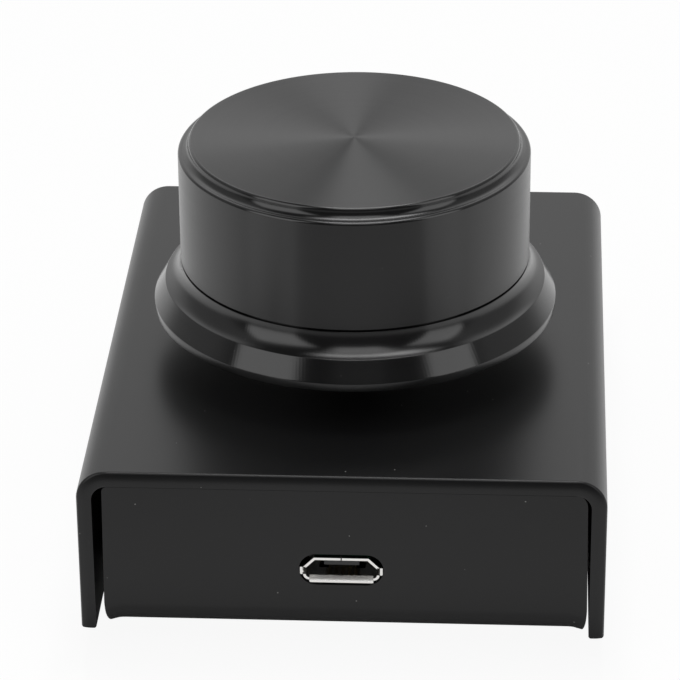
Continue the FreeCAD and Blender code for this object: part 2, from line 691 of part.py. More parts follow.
def make_rubber_feet():
    """Four stick-on feet, chamfered below."""
    across = "(inside_half - foot_inset_side)"
    along = "(cover_length / 2 - foot_inset_end)"
    for corner in ("front_left", "front_right", "back_left", "back_right"):
        x_sign = "-" if "left" in corner else ""
        y_sign = "-" if "front" in corner else ""
        foot = new_body("rubber_foot_" + corner, x_sign + across, y_sign + along)
        profile = new_sketch(foot, XZ)
        outline(profile, [
            ("0", "0"),
            ("foot_diameter / 2 - foot_chamfer", "0"),
            ("foot_diameter / 2", "foot_chamfer"),
            ("foot_diameter / 2", "foot_height"),
            ("0", "foot_height"),
        ])
        revolve(foot, profile)


# ---------------------------------------------------------------- knob

def make_knob_body():
    """Knob turned from bar: spun top face inside a small cove, plain grip, seam groove,
    cove and cone of the skirt, and a recess and a flatted blind bore underneath."""
    knob = new_body("knob_body", y="-knob_forward", z="knob_floor")
    profile = new_sketch(knob, XZ)
    outline(profile, [
        ("0", "0"),
        ("hub_radius", "0"),
        ("hub_radius", "recess_depth"),
        ("skirt_radius - recess_wall", "recess_depth"),
        ("skirt_radius - recess_wall", "0"),
        ("skirt_radius - edge_break", "0"),
        ("skirt_radius", "edge_break"),
        ("skirt_radius", "skirt_rim"),
        ("skirt_edge_radius", "skirt_height - skirt_cove_height", "-skirt_cove"),
        ("knob_radius", "skirt_height"),
        ("knob_radius - seam_depth", "skirt_height"),
        ("knob_radius - seam_depth", "skirt_height + seam_width"),
        ("knob_radius", "skirt_height + seam_width"),
        ("knob_radius", "knob_height - 2 * edge_break - rim_cove"),
        ("knob_radius - edge_break", "knob_height - edge_break - rim_cove", "-rim_cove"),
        ("rim_radius", "knob_height - edge_break"),
        ("rim_radius - edge_break", "knob_height"),
        ("0", "knob_height"),
    ])
    revolve(knob, profile)

    bore = new_sketch(knob, XY)
    flat = "(flat_height + bore_clearance)"
    radius = "(shaft_radius + bore_clearance)"
    reach = f"sqrt({radius}^2 - {flat}^2)"
    outline(bore, [
        (f"-{reach}", flat, f"+{radius}"),
        ("0", f"-{radius}", f"+{radius}"),
        (reach, flat),
    ])
    pocket(knob, bore, "knob_height - top_wall", "+")

    grub_hole = new_sketch(knob, XZ)
    circle(grub_hole, "0", "grub_rise", "grub_diameter / 2 + grub_clearance")
    pocket(knob, grub_hole, "skirt_radius", "+")


def make_knob_grub_screw():
    """Headless screw from the back of the knob onto the shaft's flat."""
    screw = new_body("knob_grub_screw", y="flat_height + bore_clearance - knob_forward",
                     z="knob_floor + grub_rise")
    face = new_sketch(screw, XZ)
    circle(face, "0", "0", "grub_diameter / 2")
    pad(screw, face, "grub_length", "+")
    chamfer(screw, "grub_point", lambda edge: level(edge, "y", "0"))
    socket = new_sketch(screw, XZ, "grub_length")
    across, corner = "grub_key / 2", "grub_key / sqrt(3)"
    outline(socket, [
        (corner, "0"),
        (f"{corner} / 2", across),
        (f"-{corner} / 2", across),
        (f"-{corner}", "0"),
        (f"-{corner} / 2", f"-{across}"),
        (f"{corner} / 2", f"-{across}"),
    ])
    pocket(screw, socket, "grub_key_depth", "-")


# ---------------------------------------------------------------- encoder
# Each encoder part has its local origin on the shaft's axis, at the mounting face.

def encoder_body(name, kept=True):
    return new_body(name, y="-knob_forward", z="mounting_face", kept=kept)


def make_encoder_shaft():
    """Shaft with a flat for the knob, a collar that the bush holds in, and two flats that
    drive the wheel and slide in it when the knob is pressed."""
    shaft = encoder_body("encoder_shaft")
    profile = new_sketch(shaft, XZ)
    outline(profile, [
        ("0", "-drive_end"),
        ("drive_radius", "-drive_end"),
        ("drive_radius", "-collar_end"),
        ("collar_radius", "-collar_end"),
        ("collar_radius", "-collar_depth"),
        ("shaft_radius", "-collar_depth"),
        ("shaft_radius", "shaft_length - shaft_point"),
        ("shaft_radius - shaft_point", "shaft_length"),
        ("0", "shaft_length"),
    ])
    revolve(shaft, profile)
    flat = new_sketch(shaft, XY, "sheet + knob_gap - shaft_flat_margin")
    box_outline(flat, "-shaft_radius", "shaft_radius", "flat_height", "2 * shaft_radius")
    pocket(shaft, flat, "shaft_length", "+")
    drive = new_sketch(shaft, XY, "-collar_end")
    for side in ("-", ""):
        box_outline(drive, "-shaft_radius", "shaft_radius",
                    f"{side}(drive_radius - drive_cut)", f"{side}2 * shaft_radius")
    pocket(shaft, drive, "drive_end", "-")


def make_encoder_bushing():
    """Die-cast plate with the neck that passes through the cover."""
    bushing = encoder_body("encoder_bushing")
    plate = new_sketch(bushing, XY, "-plate_depth")
    box_outline(plate, "-body_width / 2", "body_width / 2", "-body_width / 2", "body_width / 2")
    pad(bushing, plate, "bush_plate")
    neck = new_sketch(bushing, XY, "-frame_sheet - bush_plate / 2")
    circle(neck, "0", "0", "bush_radius")
    pad(bushing, neck, "bush_height + frame_sheet + bush_plate / 2")
    chamfer(bushing, "bush_chamfer", lambda edge: level(edge, "z", "bush_height"))
    bore = new_sketch(bushing, XY, "bush_height")
    circle(bore, "0", "0", "shaft_radius + bush_clearance")
    pocket(bushing, bore, "through")


def make_encoder_frame():
    """Sheet clamp over the bush's plate, folded down both sides, with a lug on each side
    that is soldered into the board."""
    frame = encoder_body("encoder_frame")
    outside = "(frame_inside + frame_sheet)"
    side_end = "(frame_rise - body_height)"
    profile = new_sketch(frame, XZ)
    outline(profile, [
        (f"-{outside}", side_end),
        ("-frame_inside", side_end),
        ("-frame_inside", "-frame_sheet"),
        ("frame_inside", "-frame_sheet"),
        ("frame_inside", side_end),
        (outside, side_end),
        (outside, f"-{outside} + frame_inside", "+frame_sheet"),
        ("frame_inside", "0"),
        ("-frame_inside", "0", "+frame_sheet"),
        (f"-{outside}", f"-{outside} + frame_inside"),
    ])
    pad(frame, profile, "body_width", "both")
    hole = new_sketch(frame, XY)
    circle(hole, "0", "0", "bush_radius + bush_clearance")
    pocket(frame, hole, "2 * frame_sheet")
    lug_outline = new_sketch(frame, YZ, "frame_inside")
    outline(lug_outline, [
        ("-lug_width / 2", side_end),
        ("-lug_width / 2", "lug_point - pin_reach"),
        ("lug_point - lug_width / 2", "-pin_reach"),
        ("lug_width / 2 - lug_point", "-pin_reach"),
        ("lug_width / 2", "lug_point - pin_reach"),
        ("lug_width / 2", side_end),
    ])
    lug = pad(frame, lug_outline, "frame_sheet")
    mirror(frame, [lug], YZ)


def make_encoder_wipers():
    """Three spring strips under the code disc; outside the housing each ends in a pin."""
    wipers = encoder_body("encoder_wipers")
    profile = new_sketch(wipers, YZ, "-pin_pitch * (pin_count - 1) / 2 - pin_width / 2")
    outline(profile, [
        ("-pin_row - pin_sheet / 2", "-pin_reach"),
        ("-pin_row + pin_sheet / 2", "-pin_reach"),
        ("-pin_row + pin_sheet / 2", "-cavity_depth"),
        ("-wiper_end", "-cavity_depth"),
        ("-wiper_end", "pin_sheet - cavity_depth"),
        ("-wiper_place", "-wiper_top"),
        ("-wiper_end - wiper_length", "pin_sheet - cavity_depth"),
        ("-pin_row - pin_sheet / 2", "pin_sheet - cavity_depth"),
    ])
    strip = pad(wipers, profile, "pin_width")
    row_of(wipers, [strip], X_AXIS, "pin_pitch", "pin_count")
    return wipers


def make_switch_contacts():
    """Two strips in the floor of the switch chamber: one reaches under the dome's rim and
    the other to its middle; outside the housing each ends in a pin."""
    contacts = encoder_body("switch_contacts")
    side, half = "switch_pitch / 2", "pin_width / 2"
    strips = new_sketch(contacts, XY, "-well_depth - switch_sheet")
    box_outline(strips, f"{side} - {half}", f"{side} + {half}", half, f"switch_row + {half} / 2")
    outline(strips, [
        (f"-{side} - {half}", f"switch_row + {half} / 2"),
        (f"-{side} - {half}", f"-{half}"),
        (half, f"-{half}"),
        (half, half),
        (f"{half} - {side}", half),
        (f"{half} - {side}", f"switch_row + {half} / 2"),
    ])
    pad(contacts, strips, "switch_sheet")
    pins = new_sketch(contacts, XY, "-pin_reach")
    for sign in ("-", ""):
        box_outline(pins, f"{sign}{side} - {half}", f"{sign}{side} + {half}",
                    f"switch_row - {half} / 2", f"switch_row + {half} / 2")
    pad(contacts, pins, "pin_reach - well_depth")
    return contacts


def make_encoder_base(wipers, switch_contacts):
    """Moulded housing with the wheel's chamber and, under it, the switch's; the metal
    strips are moulded in."""
    blank = encoder_body("encoder_base_blank", kept=False)
    square = new_sketch(blank, XY, "-body_height")
    half = "body_width / 2"
    box_outline(square, f"-{half}", half, f"-{half}", half)
    pad(blank, square, "body_height - plate_depth")
    cavity = new_sketch(blank, XY, "-plate_depth")
    circle(cavity, "0", "0", "cavity_radius")
    pocket(blank, cavity, "cavity_depth - plate_depth")
    well = new_sketch(blank, XY, "-cavity_depth")
    circle(well, "0", "0", "well_radius")
    pocket(blank, well, "well_depth - cavity_depth")
    metal = document.addObject("Part::Compound", "moulded_in_strips")
    metal.Links = [wipers, switch_contacts]
    boolean("Cut", "encoder_base", blank, metal)


def make_encoder_rotor():
    """Moulded wheel: the notches round its rim click past the detent spring, a recess
    leaves room for the shaft's collar, and its hole has the shaft's two flats."""
    wheel = encoder_body("encoder_rotor")
    profile = new_sketch(wheel, XZ)
    outline(profile, [
        ("0", "-wheel_bottom"),
        ("wheel_radius", "-wheel_bottom"),
        ("wheel_radius", "-wheel_top"),
        ("wheel_recess_radius", "-wheel_top"),
        ("wheel_recess_radius", "-wheel_recess_depth"),
        ("0", "-wheel_recess_depth"),
    ])
    revolve(wheel, profile)
    hole = new_sketch(wheel, XY, "-wheel_bottom")
    drive_hole(hole)
    pocket(wheel, hole, "wheel_bottom", "+")
    notch = new_sketch(wheel, XZ, "-cavity_radius")
    outline(notch, [
        ("-notch_width / 2", "-wheel_top"),
        ("0", "-wheel_top - notch_depth"),
        ("notch_width / 2", "-wheel_top"),
    ])
    cut = pocket(wheel, notch, "cavity_radius", "+")
    ring_of(wheel, [cut], "detent_count")


def drive_hole(sketch):
    """Outline of the hole that the shaft's two driving flats slide in."""
    radius = "(drive_radius + drive_clearance)"
    flat = "(drive_radius - drive_cut + drive_clearance)"
    reach = f"sqrt({radius}^2 - {flat}^2)"
    outline(sketch, [
        (f"-{reach}", f"-{flat}"),
        (reach, f"-{flat}", f"+{radius}"),
        (reach, flat),
        (f"-{reach}", flat, f"+{radius}"),
    ])


def make_encoder_code_disc():
    """Slotted metal disc under the wheel."""
    disc = encoder_body("encoder_code_disc")
    face = new_sketch(disc, XY, "-disc_bottom")
    circle(face, "0", "0", "wheel_radius - disc_inset")
    pad(disc, face, "disc_thickness")
    hole = new_sketch(disc, XY, "-disc_bottom")
    drive_hole(hole)
    pocket(disc, hole, "disc_thickness", "+")
    slot = new_sketch(disc, XY, "-disc_bottom")
    box_outline(slot, "wiper_place - disc_slot_length / 2", "wiper_place + disc_slot_length / 2",
                "-disc_slot_width / 2", "disc_slot_width / 2")
    cut = pocket(disc, slot, "disc_thickness", "+")
    ring_of(disc, [cut], "detent_count")


def make_encoder_detent_spring():
    """Flat spring ring under the bush's plate with two noses for the wheel's notches."""
    spring = encoder_body("encoder_detent_spring")
    underside = "-plate_depth - spring_sheet"
    ring = new_sketch(spring, XY, underside)
    circle(ring, "0", "0", "spring_outside")
    circle(ring, "0", "0", "spring_inside")
    pad(spring, ring, "spring_sheet")
    nose = new_sketch(spring, XZ, "-spring_inside - spring_sheet")
    outline(nose, [
        ("-spring_nose / 2", underside),
        ("0", f"{underside} - spring_nose_drop"),
        ("spring_nose / 2", underside),
    ])
    bump = pad(spring, nose, "spring_outside - spring_inside - 2 * spring_sheet", "-")
    ring_of(spring, [bump], "2")


def make_switch_plunger():
    """Moulded plunger between the shaft's lower end and the snap dome."""
    plunger = encoder_body("switch_plunger")
    profile = new_sketch(plunger, XZ)
    outline(profile, [
        ("0", "-stem_end"),
        ("plunger_stem", "-stem_end"),
        ("plunger_stem", "-plunger_top - plunger_head"),
        ("dome_radius", "-plunger_top - plunger_head"),
        ("dome_radius", "-plunger_top"),
        ("0", "-plunger_top"),
    ])
    revolve(plunger, profile)


def make_switch_dome():
    """Thin snap dome with a flat crown, on the floor of the switch chamber."""
    dome = encoder_body("switch_dome")
    profile = new_sketch(dome, XZ)
    outline(profile, [
        ("dome_radius - dome_sheet", "-well_depth"),
        ("dome_radius", "-well_depth"),
        ("dome_crown", "dome_height - well_depth"),
        ("0", "dome_height - well_depth"),
        ("0", "dome_height - dome_sheet - well_depth"),
        ("dome_crown", "dome_height - dome_sheet - well_depth"),
    ])
    revolve(dome, profile)


def make_encoder_washer_and_nut():
    """Plain washer and hexagon nut that hold the encoder's neck in the cover."""
    washer = encoder_body("encoder_washer")
    ring = new_sketch(washer, XY, "sheet")
    circle(ring, "0", "0", "bush_radius + washer_rim")
    circle(ring, "0", "0", "bush_radius + washer_clearance")
    pad(washer, ring, "washer_height")

    nut = encoder_body("encoder_nut")
    hexagon = new_sketch(nut, XY, "sheet + washer_height")
    across = "(bush_radius + nut_wall)"
    corner = f"({across} * 2 / sqrt(3))"
    outline(hexagon, [
        (corner, "0"),
        (f"{corner} / 2", across),
        (f"-{corner} / 2", across),
        (f"-{corner}", "0"),
        (f"-{corner} / 2", f"-{across}"),
        (f"{corner} / 2", f"-{across}"),
    ])
    circle(hexagon, "0", "0", "bush_radius + nut_clearance")
    pad(nut, hexagon, "nut_height")
    bevel = new_sketch(nut, XZ)
    top = "sheet + washer_height + nut_height"
    outline(bevel, [
        (f"{corner} - nut_chamfer", top),
        (f"{corner} + nut_chamfer", f"{top} - nut_chamfer"),
        (f"{corner} + nut_chamfer", top),
    ])
    groove = nut.newObject("PartDesign::Groove", "encoder_nut_bevel")
    groove.Profile = bevel
    groove.ReferenceAxis = (bevel, ["V_Axis"])
    groove.Angle = 360
    document.recompute()


# ---------------------------------------------------------------- circuit board

def make_circuit_board():
    """Board that hangs from the encoder's pins and lugs and carries the socket below."""
    board = new_body("circuit_board", z="board_underside")
    face = new_sketch(board, XY)
    half, corner = "board_width / 2", "board_corner"
    front, back = "-board_front", "-board_back"
    outline(face, [
        (f"{corner} - {half}", front),
        (f"{half} - {corner}", front, f"+{corner}"),
        (half, f"{front} + {corner}"),
        (half, f"{back} - {corner}", f"+{corner}"),
        (f"{half} - {corner}", back),
        (f"{corner} - {half}", back, f"+{corner}"),
        (f"-{half}", f"{back} - {corner}"),
        (f"-{half}", f"{front} + {corner}", f"+{corner}"),
    ])
    pad(board, face, "board_thickness")
    holes = new_sketch(board, XY)
    for number in range(int(value("pin_count"))):
        circle(holes, f"pin_pitch * ({number} - (pin_count - 1) / 2)", "-knob_forward - pin_row",
               "pin_hole / 2")
    for side in ("-", ""):
        circle(holes, f"{side}switch_pitch / 2", "switch_row - knob_forward", "pin_hole / 2")
        slot_in_board(holes, f"{side}(frame_inside + frame_sheet / 2)", "-knob_forward",
                      "lug_slot_width", "(lug_width + 2 * lug_slot_play)")
        slot_in_board(holes, f"{side}(usb_half - usb_sheet / 2)", "shell_leg_place - usb_mouth",
                      "leg_slot_width", "(shell_leg_width + 2 * leg_slot_play)")
    pocket(board, holes, "board_thickness", "+")


def slot_in_board(sketch, x, y, width, length):
    box_outline(sketch, f"{x} - {width} / 2", f"{x} + {width} / 2",
                f"{y} - {length} / 2", f"{y} + {length} / 2")


def board_part(name):
    """A body whose local origin is on the board's underside; its parts hang below."""
    return new_body(name, z="board_underside")


def make_controller_chip():
    """Moulded controller with two rows of gull-wing leads."""
    chip = board_part("controller_chip")
    face = new_sketch(chip, XY, "-chip_standoff")
    box_outline(face, "-chip_length / 2", "chip_length / 2",
                "-chip_line - chip_width / 2", "chip_width / 2 - chip_line")
    pad(chip, face, "chip_height", "-")
    chamfer(chip, "chip_chamfer", lambda edge: level(edge, "z", "-chip_standoff")
            or level(edge, "z", "-chip_standoff - chip_height"))

    leads = board_part("chip_leads")
    first = "-lead_pitch * (lead_count - 1) / 2 - lead_width / 2"
    profile = new_sketch(leads, YZ, first)
    middle = "-chip_standoff - chip_height / 2"
    knee = "((chip_width + lead_span) / 4)"
    for side in ("-", "+"):
        turn = "-" if side == "+" else "+"
        outline(profile, [
            (f"-chip_line {side} lead_span / 2", "0"),
            (f"-chip_line {side} {knee}", "0"),
            (f"-chip_line {side} {knee}", f"{middle} + lead_sheet / 2"),
            (f"-chip_line {side} chip_width / 2", f"{middle} + lead_sheet / 2"),
            (f"-chip_line {side} chip_width / 2", f"{middle} - lead_sheet / 2"),
            (f"-chip_line {side} ({knee} + lead_sheet)", f"{middle} - lead_sheet / 2"),
            (f"-chip_line {side} ({knee} + lead_sheet)", "-lead_sheet"),
            (f"-chip_line {side} lead_span / 2", "-lead_sheet"),
        ])
    pair = pad(leads, profile, "lead_width")
    row_of(leads, [pair], X_AXIS, "lead_pitch", "lead_count")


def make_small_board_parts():
    """Crystal can, chip resistors and chip capacitors."""
    crystal = board_part("crystal")
    can = new_sketch(crystal, XY)
    box_outline(can, "crystal_side - crystal_width / 2", "crystal_side + crystal_width / 2",
                "-chip_line - crystal_length / 2", "crystal_length / 2 - chip_line")
    pad(crystal, can, "crystal_height", "-")
    fillet(crystal, "crystal_round", lambda edge: level(edge, "z", "-crystal_height"))

    for name, count, line, height in (
            ("chip_resistors", "resistor_count", "resistor_line", "resistor_height"),
            ("chip_capacitors", "capacitor_count", "capacitor_line", "capacitor_height")):
        group = board_part(name)
        face = new_sketch(group, XY)
        first = f"-small_pitch * ({count} - 1) / 2"
        box_outline(face, f"{first} - small_width / 2", f"{first} + small_width / 2",
                    f"-{line} - small_length / 2", f"small_length / 2 - {line}")
        part = pad(group, face, height, "-")
        row_of(group, [part], X_AXIS, "small_pitch", count)


# ---------------------------------------------------------------- micro-USB receptacle
# Its parts have their local origin in the middle of the mouth, on the board's underside;
# +Y is into the socket and the shell hangs below the board.

def receptacle_body(name, kept=True):
    return new_body(name, y="-usb_mouth", z="board_underside", kept=kept)


def shell_loop(sketch, half, top_half, top, bottom, corner, radius):
    """Outline of the receptacle: slanted corners at the board, round ones away from it."""
    outline(sketch, [
        (f"-{top_half}", top),
        (f"-{half}", f"{top} - {corner}"),
        (f"-{half}", f"{bottom} + {radius}", f"+{radius}"),
        (f"{radius} - {half}", bottom),
        (f"{half} - {radius}", bottom, f"+{radius}"),
        (half, f"{bottom} + {radius}"),
        (half, f"{top} - {corner}"),
        (top_half, top),
    ])


def make_usb_shell():
    """Pressed shell: a folded tube with flared lips round the mouth, a seam at the board,
    two latch windows and two legs into the board."""
    shell = receptacle_body("usb_shell")
    wall = new_sketch(shell, XZ)
    shell_loop(wall, "usb_half", "usb_top_half", "0", "-usb_height", "usb_corner", "usb_round")
    shell_loop(wall, "usb_inner_half", "(usb_inner_half - usb_inner_corner)", "-usb_sheet",
               "(usb_sheet - usb_height)", "usb_inner_corner", "usb_inner_round")
    pad(shell, wall, "usb_depth", "+")

    mouth = new_sketch(shell, XZ)
    box_outline(mouth, "-lip_half", "lip_half", "-usb_height", "usb_sheet - usb_height")
    for side in ("-", ""):
        box_outline(mouth, f"{side}usb_inner_half", f"{side}usb_half", "-side_lip_end", "-usb_corner")
    pocket(shell, mouth, "lip_depth", "+")

    far_lip = new_sketch(shell, YZ)
    outline(far_lip, [
        ("lip_depth", "-usb_height"),
        ("lip_depth", "usb_sheet - usb_height"),
        ("0", "usb_sheet - usb_height - lip_flare"),
        ("0", "-usb_height - lip_flare"),
    ])
    pad(shell, far_lip, "2 * lip_half", "both")
    side_lips = new_sketch(shell, XY, "-side_lip_end")
    for side in ("-", ""):
        outline(side_lips, [
            (f"{side}usb_half", "lip_depth"),
            (f"{side}usb_inner_half", "lip_depth"),
            (f"{side}(usb_inner_half + lip_flare)", "0"),
            (f"{side}(usb_half + lip_flare)", "0"),
        ])
    pad(shell, side_lips, "side_lip_end - usb_corner")

    seam = new_sketch(shell, XY)
    box_outline(seam, "-usb_seam / 2", "usb_seam / 2", "0", "usb_depth")
    pocket(shell, seam, "usb_sheet", "-")
    windows = new_sketch(shell, XY, "-usb_height")
    for side in ("-", ""):
        middle = f"{side}latch_pitch / 2"
        box_outline(windows, f"{middle} - latch_width / 2", f"{middle} + latch_width / 2",
                    "latch_place", "latch_place + latch_length")
    pocket(shell, windows, "usb_sheet", "+")
    legs = new_sketch(shell, YZ, "usb_inner_half")
    box_outline(legs, "shell_leg_place - shell_leg_width / 2", "shell_leg_place + shell_leg_width / 2",
                "-usb_corner", "shell_leg_reach")
    leg = pad(shell, legs, "usb_sheet")
    mirror(shell, [leg], YZ)


def make_usb_contacts():
    """Five strips under the tongue; behind the block each rises to a foot on the board."""
    contacts = receptacle_body("usb_contacts")
    profile = new_sketch(contacts, YZ, "-contact_pitch * (contact_count - 1) / 2 - contact_width / 2")
    low, high = "-tongue_bottom", "(contact_sheet - tongue_bottom)"
    outline(profile, [
        ("tongue_front + contact_sheet", low),
        ("contact_rise + contact_sheet", low),
        ("contact_rise + contact_sheet", "-contact_sheet"),
        ("contact_rise + contact_foot", "-contact_sheet"),
        ("contact_rise + contact_foot", "0"),
        ("contact_rise", "0"),
        ("contact_rise", high),
        ("tongue_front + contact_sheet", high),
    ])
    strip = pad(contacts, profile, "contact_width")
    row_of(contacts, [strip], X_AXIS, "contact_pitch", "contact_count")
    return contacts


def make_usb_insulator(contacts):
    """Moulded block that closes the shell's back, with the tongue; the strips are moulded in."""
    blank = receptacle_body("usb_insulator_blank", kept=False)
    block = new_sketch(blank, XZ, "block_front")
    half = "(usb_inner_half - block_clearance)"
    corner = "usb_inner_corner"
    shell_loop(block, half, f"({half} - {corner})", "(-usb_sheet - block_clearance)",
               "(usb_sheet + block_clearance - usb_height)", corner, "(usb_inner_round - block_clearance)")
    pad(blank, block, "block_back - block_front", "+")
    tongue = new_sketch(blank, XZ, "tongue_front")
    box_outline(tongue, "-tongue_width / 2", "tongue_width / 2", "-tongue_bottom", "-tongue_top")
    pad(blank, tongue, "block_back - tongue_front", "+")
    chamfer(blank, "contact_sheet", lambda edge: level(edge, "y", "tongue_front")
            and level(edge, "z", "-tongue_top"))
    boolean("Cut", "usb_insulator", blank, contacts)


# ---------------------------------------------------------------- the whole object

def build():
    make_top_cover()
    make_bottom_tray()
    make_cover_screws()
    make_rubber_feet()
    make_knob_body()
    make_knob_grub_screw()
    make_encoder_shaft()
    make_encoder_bushing()
    make_encoder_frame()
    make_encoder_base(make_encoder_wipers(), make_switch_contacts())
    make_encoder_rotor()
    make_encoder_code_disc()
    make_encoder_detent_spring()
    make_switch_plunger()
    make_switch_dome()
    make_encoder_washer_and_nut()
    make_circuit_board()
    make_controller_chip()
    make_small_board_parts()
    make_usb_shell()
    make_usb_insulator(make_usb_contacts())
    document.recompute()


def check_and_write():
    """Stop on anything that failed, then write one file for each piece."""
    for item in document.Objects:
        if "Invalid" in item.State or "Error" in item.State:
            raise ValueError(f"{item.Label} failed: {item.State}")
    for piece in pieces:
        if piece.Shape.isNull() or not piece.Shape.isValid() or not piece.Shape.Solids:
            raise ValueError(f"{piece.Label} has no valid solid")
    os.makedirs("parts", exist_ok=True)
    for piece in pieces:
        piece.Shape.exportStep(f"parts/{piece.Label}.step")
        print(piece.Label, len(piece.Shape.Solids), round(piece.Shape.Volume, 3))


build()
check_and_write()
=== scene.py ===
import json
from math import atan, cos, degrees, pi, radians, sin, sqrt, tan

import bmesh
import bpy
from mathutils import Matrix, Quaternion, Vector


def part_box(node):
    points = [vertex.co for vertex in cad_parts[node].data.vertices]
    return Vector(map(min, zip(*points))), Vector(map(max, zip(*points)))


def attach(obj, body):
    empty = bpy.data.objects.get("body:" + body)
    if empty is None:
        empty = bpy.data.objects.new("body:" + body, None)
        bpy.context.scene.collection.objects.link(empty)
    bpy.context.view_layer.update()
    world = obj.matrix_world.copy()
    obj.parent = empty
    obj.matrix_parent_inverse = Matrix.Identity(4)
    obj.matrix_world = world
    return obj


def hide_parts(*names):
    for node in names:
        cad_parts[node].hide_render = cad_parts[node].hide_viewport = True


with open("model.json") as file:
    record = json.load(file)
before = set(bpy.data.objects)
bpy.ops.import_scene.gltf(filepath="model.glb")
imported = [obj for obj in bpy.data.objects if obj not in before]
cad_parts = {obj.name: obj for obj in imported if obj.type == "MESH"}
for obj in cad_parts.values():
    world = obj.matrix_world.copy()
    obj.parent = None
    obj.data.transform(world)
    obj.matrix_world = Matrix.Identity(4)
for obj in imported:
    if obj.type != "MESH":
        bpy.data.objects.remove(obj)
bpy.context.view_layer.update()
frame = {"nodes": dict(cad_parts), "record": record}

MM = 0.001


# ---------------------------------------------------------------- camera
# A long lens a little right of the middle, looking down on the table at about 27 degrees.
# It is shifted by the few pixels that the framing lies off the lens's middle.

VIEW_AZIMUTH, VIEW_ELEVATION, VIEW_ROLL = radians(3.087), radians(27.529), radians(-0.401)
VIEW_TARGET = Vector((-0.82, 0.0, 17.477)) * MM
VIEW_DISTANCE = 378.66 * MM
VIEW_REACH = (0.01, 20)
VIEW_SHIFT = (-0.0135, -0.0025)
LENS = 193.88


def direction(azimuth, elevation):
    """The unit vector from the object towards that azimuth and elevation; 0 is the front."""
    return Vector((sin(azimuth) * cos(elevation), -cos(azimuth) * cos(elevation), sin(elevation)))


towards_camera = direction(VIEW_AZIMUTH, VIEW_ELEVATION)
turned_to_target = towards_camera.to_track_quat("Z", "Y") @ Quaternion((0, 0, 1), VIEW_ROLL)
bpy.ops.object.camera_add(location=VIEW_TARGET + towards_camera * VIEW_DISTANCE,
                          rotation=turned_to_target.to_euler())
camera = bpy.context.object
camera.data.lens = LENS
camera.data.shift_x, camera.data.shift_y = VIEW_SHIFT
camera.data.clip_start, camera.data.clip_end = VIEW_REACH
bpy.context.scene.camera = camera
bpy.context.scene.view_settings.view_transform = "Standard"


# ---------------------------------------------------------------- floor and light
# A white paper table in a room with a white back wall and a dark ceiling and camera side.
# The paper's colour and its glow in reflections are painted dim towards the camera, as painted
# shade, and beside, before and under the box, as a painted contact shadow.
# Two soft lights hang overhead and two stand at the front corners.

FLOOR_SIZE = 6.0
FLOOR_WHITE = 0.85
FLOOR_PAINTED_SHADE = 0.42
FLOOR_ROUGHNESS = 0.12
FLOOR_IOR = 1.6
FLOOR_LIFT_SEEN = 0.93
FLOOR_LIFT_MIRRORED = 0.97
# Where the floor's painted shade towards the camera and its painted contact shadow round the
# box begin and end, in metres from the box's middle.
FLOOR_PAINTED_SHADE_EDGE = (-0.094, -0.066)
PAINTED_SHADOW_BESIDE_BOX = (0.025, 0.030)
PAINTED_SHADOW_BEFORE_BOX = (0.030, 0.046)
ROOM_DARK = 0.075
SIDE_WALLS = 0.40
LOW_WALLS = 0.78
BACK_GLOW = 0.78
# Where soft steps on the walls begin and end, as the y, x or z of a direction of length 1.
SIDE_WALLS_RISE = (-0.45, -0.05)
BACK_WALL_RISE = (0.40, 0.88)
LOW_WALLS_RISE = (0.1, 0.32)
BACK_GLOW_DEPTH = (0.1, 0.4)
BACK_GLOW_BREADTH = (0.3, 0.65)
BACK_GLOW_RISE = (0.47, 0.64)
DARK_CEILING = (0.80, 0.92)
WHITE = (1, 1, 1, 1)
LAMP_DISTANCE = 0.62
OVERHEAD_X = 0.045
OVERHEAD_TILT = 0.0001
OVERHEAD_FADE = 0.28
CORNER_ELEVATION = 29
CORNER_FADE = 0.16


class Wire:
    """A shader's socket to reckon with: each operator adds its Math node."""

    def __init__(self, tree, socket=None):
        self.tree = tree
        self.socket = socket

    def node(self, kind, settings=None, sockets=None, out=0):
        """A node of that kind: its settings first, then its sockets' values or wires. The wire
        that comes back is its output of that name or number."""
        made = self.tree.nodes.new("ShaderNode" + kind)
        for name, setting in (settings or {}).items():
            setattr(made, name, setting)
        for name, given in (sockets or {}).items():
            if isinstance(given, Wire):
                self.tree.links.new(given.socket, made.inputs[name])
            else:
                made.inputs[name].default_value = given
        return Wire(self.tree, made.outputs[out] if made.outputs else None)

    def math(self, operation, other=0.0):
        return self.node("Math", {"operation": operation}, {0: self, 1: other})

    def __add__(self, other):
        return self.math("ADD", other)

    __radd__ = __add__

    def __sub__(self, other):
        return self.math("SUBTRACT", other)

    def __rsub__(self, other):
        return self.node("Math", {"operation": "SUBTRACT"}, {0: other, 1: self})

    def __mul__(self, other):
        return self.math("MULTIPLY", other)

    __rmul__ = __mul__

    def __pow__(self, other):
        return self.math("POWER", other)

    def __abs__(self):
        return self.math("ABSOLUTE")

    def axis(self, name):
        """The X, Y or Z of a wire that carries a vector."""
        return self.node("SeparateXYZ", None, {"Vector": self}, out=name)

    def rising(self, low, high):
        """0 below low and 1 above high, with a soft step between them."""
        return self.node("MapRange", {"interpolation_type": "SMOOTHSTEP"},
                         {"Value": self, "From Min": low, "From Max": high})

    def between(self, low, high):
        """The wire's 0 to 1 spread from low to high."""
        return self * (high - low) + low

    def blend(self, first, second):
        """A colour that goes from the first to the second as the wire goes from 0 to 1."""
        colours = [c if isinstance(c, Wire) else (*c, 1.0) for c in (first, second)]
        return self.node("Mix", {"data_type": "RGBA"},
                         {"Factor": self, "A": colours[0], "B": colours[1]}, out="Result")


def deselect():
    bpy.ops.object.select_all(action="DESELECT")


